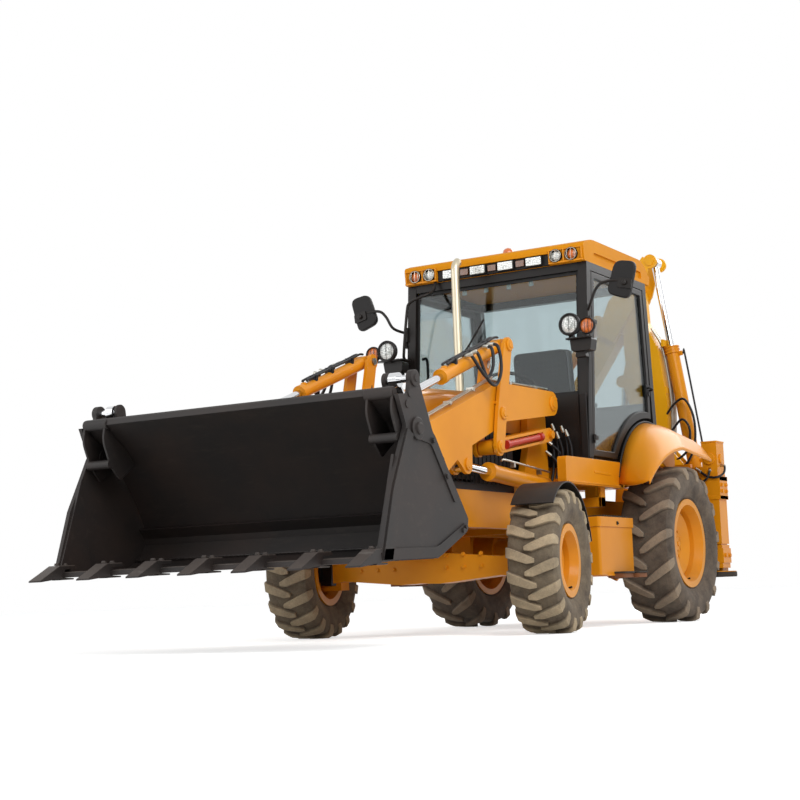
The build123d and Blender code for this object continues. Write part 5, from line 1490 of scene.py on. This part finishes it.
band = [(-5, 55), (-5, 66), (5, 66), (5, 55)]
port = [(0, 20), (34, 20), (38, 16), (38, 0)]
for along in (1046, 1072, 1096):
    turned(form, band, hoe_plane(*on_ram(along, 0), 0), (-run.x, 0, run.y), ring=True)
for along in (110, 1030):
    turned(form, port, hoe_plane(*on_ram(along, 50), 0), (-across.x, 0, across.y), count=20)
piece("dipper_ram_gland_and_ports", form, "dipper_ram_barrel", yellow_enamel, bevel=1)
form = bmesh.new()
line = ((1030, 80), (1024, 96), (990, 104), (180, 100), (130, 92), (110, 84))
swept(form, bent([hoe_plane(*on_ram(*spot), 0) for spot in line], 5), 8, sides=10)
piece("dipper_ram_tube", form, "dipper_ram_barrel", hose_rubber)
print("dipper ram", round((ram_to - ram_from).length), "mm from pin to pin")

# %% Stabiliser tubes, feet and hoses
for side, hand in SIDES:
    form = bmesh.new()
    block(form, side * 921, side * 1074, 2878, 3068, 1092, 1128)
    block(form, side * 921, side * 1074, 2878, 3068, 944, 974)
    for z in (1010, 1060):
        hex_heads(form, [at(side * 1074, y, z) for y in (2920, 3020)], (side, 0, 0), across=26, height=14)
    profile = [(0, 46), (12, 46), (14, 40), (14, 26), (20, 24), (20, 0)]
    turned(form, profile, at(side * 997, 2885, 1270), (0, -1, 0), count=32)
    turned(form, [(0, 40), (10, 40), (12, 34), (12, 0)], at(side * 1060, 2972, 1270), (side, 0, 0), count=32)
    slab(form, flipped(side, soft_box(930, 1066, 2880, 3066, 10)), 1400, 1412, top_plane)
    piece("stabiliser_tube_trim_" + hand, form, "chassis", yellow_enamel, bevel=3)
    form = bmesh.new()
    block(form, side * 926, side * 1069, 2880, 3065, 440, 556)
    hex_heads(form, [at(side * 1069, y, 500) for y in (2925, 3020)], (side, 0, 0), across=28, height=16)
    piece("stabiliser_foot_collar_" + hand, form, "stabiliser_" + hand, yellow_enamel, bevel=4)
    form = bmesh.new()
    profile = [(0, 133), (10, 136), (34, 136), (44, 130), (46, 118), (46, 0)]
    turned(form, profile, at(side * 997.5, 2972.5, 329.5), (0, 0, 1), count=48)
    piece("stabiliser_pad_" + hand, form, "stabiliser_" + hand, tread_pad, bevel=2)
    path = route(
        side,
        (
            (1066, 2960, 1215), (1098, 2950, 1205), (1104, 2900, 1150), (1060, 2868, 1120),
            (980, 2866, 1130), (900, 2870, 1190),
        ),
    )
    hose("stabiliser_hose_a_" + hand, "chassis", path)
    path = route(
        side,
        ((1000, 2880, 1190), (1004, 2856, 1170), (990, 2840, 1120), (940, 2850, 1090), (880, 2866, 1150)),
    )
    hose("stabiliser_hose_b_" + hand, "chassis", path)
print("stabilisers done")

# %% [markdown]
# ## Inside the cab
# A foam seat in woven cloth stands on a bellows. The cushions are crowned closed forms
# shaped by subdivision, because their edges have to pull in between the corners. Ahead
# of the seat are the wheel on its column, the instrument pod, and levers.

# %% Woven seat cloth
def woven_cloth(name, light, dark, thread_mm=6.0):
    """Woven seat cloth. The thread is drawn several times its real 1 mm so that it shows."""
    material, tree, place = new_material(name)
    inputs = {"Vector": place, "Scale": 1000 / thread_mm / 20}
    across = add(tree, "ShaderNodeTexWave", inputs, bands_direction="X").outputs["Fac"]
    along = add(tree, "ShaderNodeTexWave", inputs, bands_direction="Z").outputs["Fac"]
    weave = add(tree, "ShaderNodeMath", {0: across, 1: along}, operation="MULTIPLY")
    tone = add(tree, "ShaderNodeValToRGB", {"Fac": weave}, stops=[(0.1, colour(dark)), (0.8, colour(light))])
    bump = add(tree, "ShaderNodeBump", {"Height": weave, "Strength": 0.3, "Distance": 0.002})
    shader = add(tree, "ShaderNodeBsdfPrincipled", {
        "Base Color": tone, "Roughness": 0.9, "Sheen Weight": 0.3, "Normal": bump,
    })
    add(tree, "ShaderNodeOutputMaterial", {"Surface": shader})
    return material


seat_cloth = woven_cloth("woven_seat_cloth", "#3C3E42", "#232427")
print(seat_cloth.name, "ready")

# %% Seat on its bellows
def cushion(name, centre, size, lean=0.0):
    """A crowned foam pad: a box whose faces swell and whose sides pull in, smoothed by subdivision."""
    form = bmesh.new()
    bmesh.ops.create_cube(form, size=2.0)
    bmesh.ops.subdivide_edges(form, edges=form.edges[:], cuts=5, use_grid_fill=True)
    turn = Matrix.Rotation(lean, 3, "X")
    crown, wing = 0.16, 0.3
    for vert in form.verts:
        x, y, z = vert.co
        swell = (1 - x * x) * (1 - y * y)
        z2 = z * (1 + crown * swell + wing * x * x * (z > 0))
        pull = 1 - 0.05 * (1 - z * z)
        co = Vector((x * pull * size[0] / 2, y * pull * size[1] / 2, z2 * size[2] / 2)) / 1000
        vert.co = Vector(centre) + turn @ co
    made = piece(name, form, "chassis", seat_cloth, smooth=180)
    smooth = made.modifiers.new("foam", "SUBSURF")
    smooth.levels = smooth.render_levels = 2


FLOOR = 1200
form = bmesh.new()
# bellows, base plate, back plate and arm rests
for k in range(6):
    z = FLOOR + 6 + k * 40
    turned(form, [(0, 172), (18, 190), (34, 172), (40, 168)], at(0, 1810, z), (0, 0, 1), count=40)
slab(form, soft_box(-215, 215, 1600, 2040, 40), FLOOR + 238, FLOOR + 268, top_plane)
outline = soft_corners(
    [(1985, FLOOR + 300), (2035, FLOOR + 300), (2100, FLOOR + 940), (2060, FLOOR + 940)], 16,
)
slab(form, outline, -200, 200)
for side in (1, -1):
    slab(form, soft_box(1700, 1990, FLOOR + 520, FLOOR + 560, 18), side * 262, side * 318)
    path = [
        at(side * 290, 1975, FLOOR + 540), at(side * 290, 2010, FLOOR + 400),
        at(side * 230, 2010, FLOOR + 330),
    ]
    swept(form, path, 12)
piece("seat_frame", form, "chassis", black_plastic, bevel=4, replaces=("cab_interior",))
cushion("seat_cushion", at(0, 1810, FLOOR + 325), (500, 460, 120))
cushion("seat_backrest", at(0, 2010, FLOOR + 640), (470, 620, 110), lean=math.radians(96))
print("seat done")

# %% Column, consoles, steering wheel and levers
form = bmesh.new()
# the column's shroud and shaft, the instrument pod, and a console on either side
outline = soft_corners(
    [
        (1245, FLOOR + 2), (1375, FLOOR + 2), (1345, FLOOR + 480), (1365, FLOOR + 560),
        (1285, FLOOR + 540), (1255, FLOOR + 460),
    ],
    20,
)
slab(form, outline, -75, 75)
swept(form, [at(0, 1330, FLOOR + 440), at(0, 1402, FLOOR + 606)], 24, sides=20)
outline = soft_corners(
    [(1185, FLOOR + 430), (1290, FLOOR + 430), (1310, FLOOR + 600), (1200, FLOOR + 560)], 24,
)
slab(form, outline, -240, 240)
outline = soft_corners([(1500, FLOOR + 2), (2200, FLOOR + 2), (2180, FLOOR + 320), (1540, FLOOR + 330)], 40)
slab(form, outline, -420, -300)
outline = soft_corners([(1500, FLOOR + 2), (2200, FLOOR + 2), (2160, FLOOR + 240), (1540, FLOOR + 250)], 40)
slab(form, outline, 340, 450)
piece("column_and_consoles", form, "chassis", cab_plastic, bevel=8, segments=3)
form = bmesh.new()
wheel_at = at(0, 1410, FLOOR + 620)
normal = Vector((0, 0.42, 0.91)).normalized()
flat = Vector((1, 0, 0))
other = normal.cross(flat)
ring = [
    wheel_at + (flat * math.cos(a) + other * math.sin(a)) * 0.18
    for a in (2 * math.pi * k / 48 for k in range(49))
]
swept(form, ring, 13, sides=12)
for a in (math.radians(degrees) for degrees in (90, 210, 330)):
    swept(form, [wheel_at - normal * 0.012, wheel_at + (flat * math.cos(a) + other * math.sin(a)) * 0.176], 8)
turned(form, [(-34, 30), (-10, 46), (6, 46), (12, 36), (12, 0)], wheel_at, normal, count=32)
knob = wheel_at + other * 0.15 - flat * 0.09
swept(form, [knob, knob + normal * 0.05], 14, sides=16)
piece("steering_wheel", form, "chassis", black_plastic, smooth=50)
form = bmesh.new()
# place of the foot, and how far the top leans back, for each lever
for x, y, z, lean in (
    (-340, 1560, 330, -60), (-380, 1640, 330, -40), (390, 1600, 250, -50), (390, 1680, 250, -30),
    (120, 1330, 520, -60), (-120, 1330, 520, -60), (-330, 2140, 330, 40), (-250, 2150, 330, 30),
    (250, 2150, 250, 30), (330, 2140, 250, 40),
):
    foot = at(x, y, FLOOR + z)
    top = at(x * 1.02, y + lean, FLOOR + z + 230)
    swept(form, [foot, foot * 0.4 + top * 0.6, top], 6, sides=10)
    profile = [(-10, 0), (-8, 10), (6, 19), (24, 21), (38, 15), (43, 0)]
    turned(form, profile, top, (0, lean / 300, 1), count=20)
    turned(form, [(0, 30), (12, 24), (20, 14), (24, 14), (24, 0)], foot, (0, 0, 1), count=20)
piece("levers", form, "chassis", black_plastic, smooth=50)
form = bmesh.new()
block(form, -676, 676, 1096, 1136, 1240, 1655)
slab(form, soft_box(-676, 676, 1200, 1440, 4), 1092, 1100, front_plane)
piece("dash_wall_lining", form, "chassis", cab_plastic, bevel=6)
print("cab interior done")

# %% [markdown]
# ## Doors
# Each door is one frame of pressed steel round a single pane. Its low edge is arched to
# follow the fender, so it is drawn as an outline with an arc, and the window is cut out
# of it with a boolean.

# %% Door frames, panes, seals and hinges
DOOR_LOW, DOOR_HIGH = 1216, 2574


def door_line(inset, arch):
    """The door's outline: straight front and top, a low edge arched over the fender."""
    low = DOOR_LOW + inset
    front = 1150 + inset * 0.9
    corners = [(WHEELBASE + y, DOOR_LOW + rise if rise else low) for y, rise in arch]
    line = through(*corners, 14)
    high = DOOR_HIGH - inset
    line += [(corners[2][0], 1900), (2252 - inset, high), (1274 + inset, high), (front, low)]
    return line


OUTER_ARCH = ((-695, 0), (-480, 209), (20, 349))
PANE_ARCH = ((-730, 0), (-510, 256), (-22, 392))
OPENING_ARCH = ((-736, 0), (-514, 262), (-28, 398))
for side, hand in SIDES:
    form = bmesh.new()
    slab(form, door_line(0, OUTER_ARCH), side * 716, side * 750)
    frame_piece = piece(
        "door_frame_" + hand, form, "door_" + hand, black_enamel, bevel=5, replaces=("door_" + hand,),
        segments=3,
    )
    form = bmesh.new()
    slab(form, door_line(46, OPENING_ARCH), side * 700, side * 770)
    cut(frame_piece, form)
    form = bmesh.new()
    slab(form, door_line(38, PANE_ARCH), side * 729, side * 736)
    piece("door_pane_" + hand, form, "door_" + hand, tinted_glass, replaces=("door_glass_" + hand,))
    form = bmesh.new()
    rubber = [at(side * 737, y, z) for y, z in door_line(44, OPENING_ARCH)]
    swept(form, rubber + rubber[:1], 6, sides=6)
    piece("door_seal_" + hand, form, "door_" + hand, black_plastic, smooth=60)
    form = bmesh.new()
    for z in (1330, 2180):
        lean = 124 * (z - DOOR_LOW) / (DOOR_HIGH - DOOR_LOW)
        block(form, side * 758, side * 772, 1166, 1200 + lean, z + 2, z + 32)
        block(form, side * 748, side * 760, 1162 + lean, 1200 + lean, z + 2, z + 32)
        turned(form, [(0, 14), (34, 14)], at(side * 766, 1150, z), (0, 0, 1), count=20)
    piece("door_hinges_" + hand, form, "door_" + hand, black_enamel, bevel=2)
print("doors done")

# %% Windshield seal, wiper and sun blind
def windshield_plane(a, b, w):
    """Across, height and depth on the windshield's slope: 130 back over a height of 1444."""
    return at(a, 1094 + 130 * (b - 1196) / 1444 + w, b)


form = bmesh.new()
for x0, x1, z0, z1 in (
    (-679, -655, 1668, 2578), (655, 679, 1668, 2578), (-679, 679, 1664, 1690), (-679, 679, 2552, 2578),
):
    slab(form, [(x0, z0), (x1, z0), (x1, z1), (x0, z1)], 0, 5, windshield_plane)
piece("windshield_seal", form, "chassis", black_plastic, bevel=1.5)
form = bmesh.new()
turned(form, [(-12, 26), (22, 26), (28, 20), (28, 0)], at(0, 1138, 1700), (0, -1, 0.1), count=24)
swept(form, [at(0, 1112, 1702), at(-160, 1124, 1980), at(-210, 1140, 2120)], 6, sides=8)
swept(form, [at(-330, 1124, 1960), at(-205, 1137, 2120), at(-80, 1150, 2300)], 7, sides=6)
piece("windshield_wiper", form, "chassis", black_plastic)
form = bmesh.new()
for x in (-280, -95, 95, 280):
    outline = soft_corners(
        [
            (x - 20, 2520), (x + 20, 2520), (x + 16, 2550), (x + 16, 2608), (x + 24, 2632),
            (x - 24, 2632), (x - 16, 2608), (x - 16, 2550),
        ],
        6,
    )
    slab(form, outline, 1236, 1244, front_plane)
slab(form, [(-672, 2566), (672, 2566), (672, 2584), (-672, 2584)], 1232, 1240, front_plane)
pale_nylon = plastic("pale_nylon", "#B9BDB6", 0.5)
piece("sun_blind_brackets", form, "chassis", pale_nylon, bevel=2)
print("windshield trim done")

# %% Door locks, grab handles and post covers
for side, hand in SIDES:
    form = bmesh.new()
    slab(form, soft_box(2210, 2282, 1740, 1830, 12), side * 749, side * 762)
    path = bent(
        route(side, ((760, 2224, 1800), (786, 2226, 1800), (792, 2262, 1790), (764, 2268, 1784))), 6,
    )
    swept(form, path, 8, sides=10)
    turned(form, [(0, 15), (8, 15), (8, 0)], at(side * 762, 2246, 1758), (side, 0, 0), count=20)
    piece("door_lock_" + hand, form, "door_" + hand, black_plastic, bevel=2)
    form = bmesh.new()
    path = bent(
        route(
            side,
            ((712, 1260, 1500), (668, 1262, 1520), (660, 1290, 1800), (668, 1312, 2060), (712, 1316, 2084)),
        ),
        8,
    )
    swept(form, path, 11, sides=12)
    piece("door_grab_handle_" + hand, form, "door_" + hand, black_plastic)
    form = bmesh.new()
    outline = soft_corners(
        [(1066, 1200), (1142, 1200), (1142, 1600), (1180, 2000), (1150, 2010), (1096, 1600)], 12,
    )
    slab(form, outline, side * 748, side * 757)
    block(form, side * 700, side * 752, 1062, 1072, 1200, 1660)
    piece("front_post_cover_" + hand, form, "chassis", black_plastic, bevel=4)
print("cab trim done")

# %% Frame trim: axle bolts, front weight and the mesh behind the side grilles
form = bmesh.new()
for side in (1, -1):
    for z in (450, 530):
        hex_heads(form, [at(side * x, -92, z) for x in (200, 330, 460)], (0, -1, 0), across=22, height=12)
hex_heads(form, [at(x, -161, z) for x in (-100, 100) for z in (560, 660)], (0, -1, 0), across=26, height=16)
profile = [(0, 74), (14, 74), (18, 66), (18, 40), (28, 36), (28, 0)]
turned(form, profile, at(0, -150, 590), (0, -1, 0), count=36)
piece("axle_bolts", form, "chassis", yellow_enamel)
form = bmesh.new()
outline = soft_corners([(-950, 730), (-914, 652), (-895, 652), (-895, 930), (-950, 905)], (20, 0, 0, 0, 24))
slab(form, outline, -330, 330)
piece("front_weight", form, "chassis", yellow_enamel, bevel=8, segments=3)
form = bmesh.new()
for side in (1, -1):
    for y in range(-860, 520, 60):
        block(form, side * 399, side * 404, y, y + 6, 990, 1345)
    for z in range(990, 1350, 60):
        block(form, side * 399, side * 404, -880, 520, z, z + 6)
piece("side_grille_mesh", form, "chassis", black_plastic)
print("frame trim done")

# %% Find the bounds of what is drawn
low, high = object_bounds()
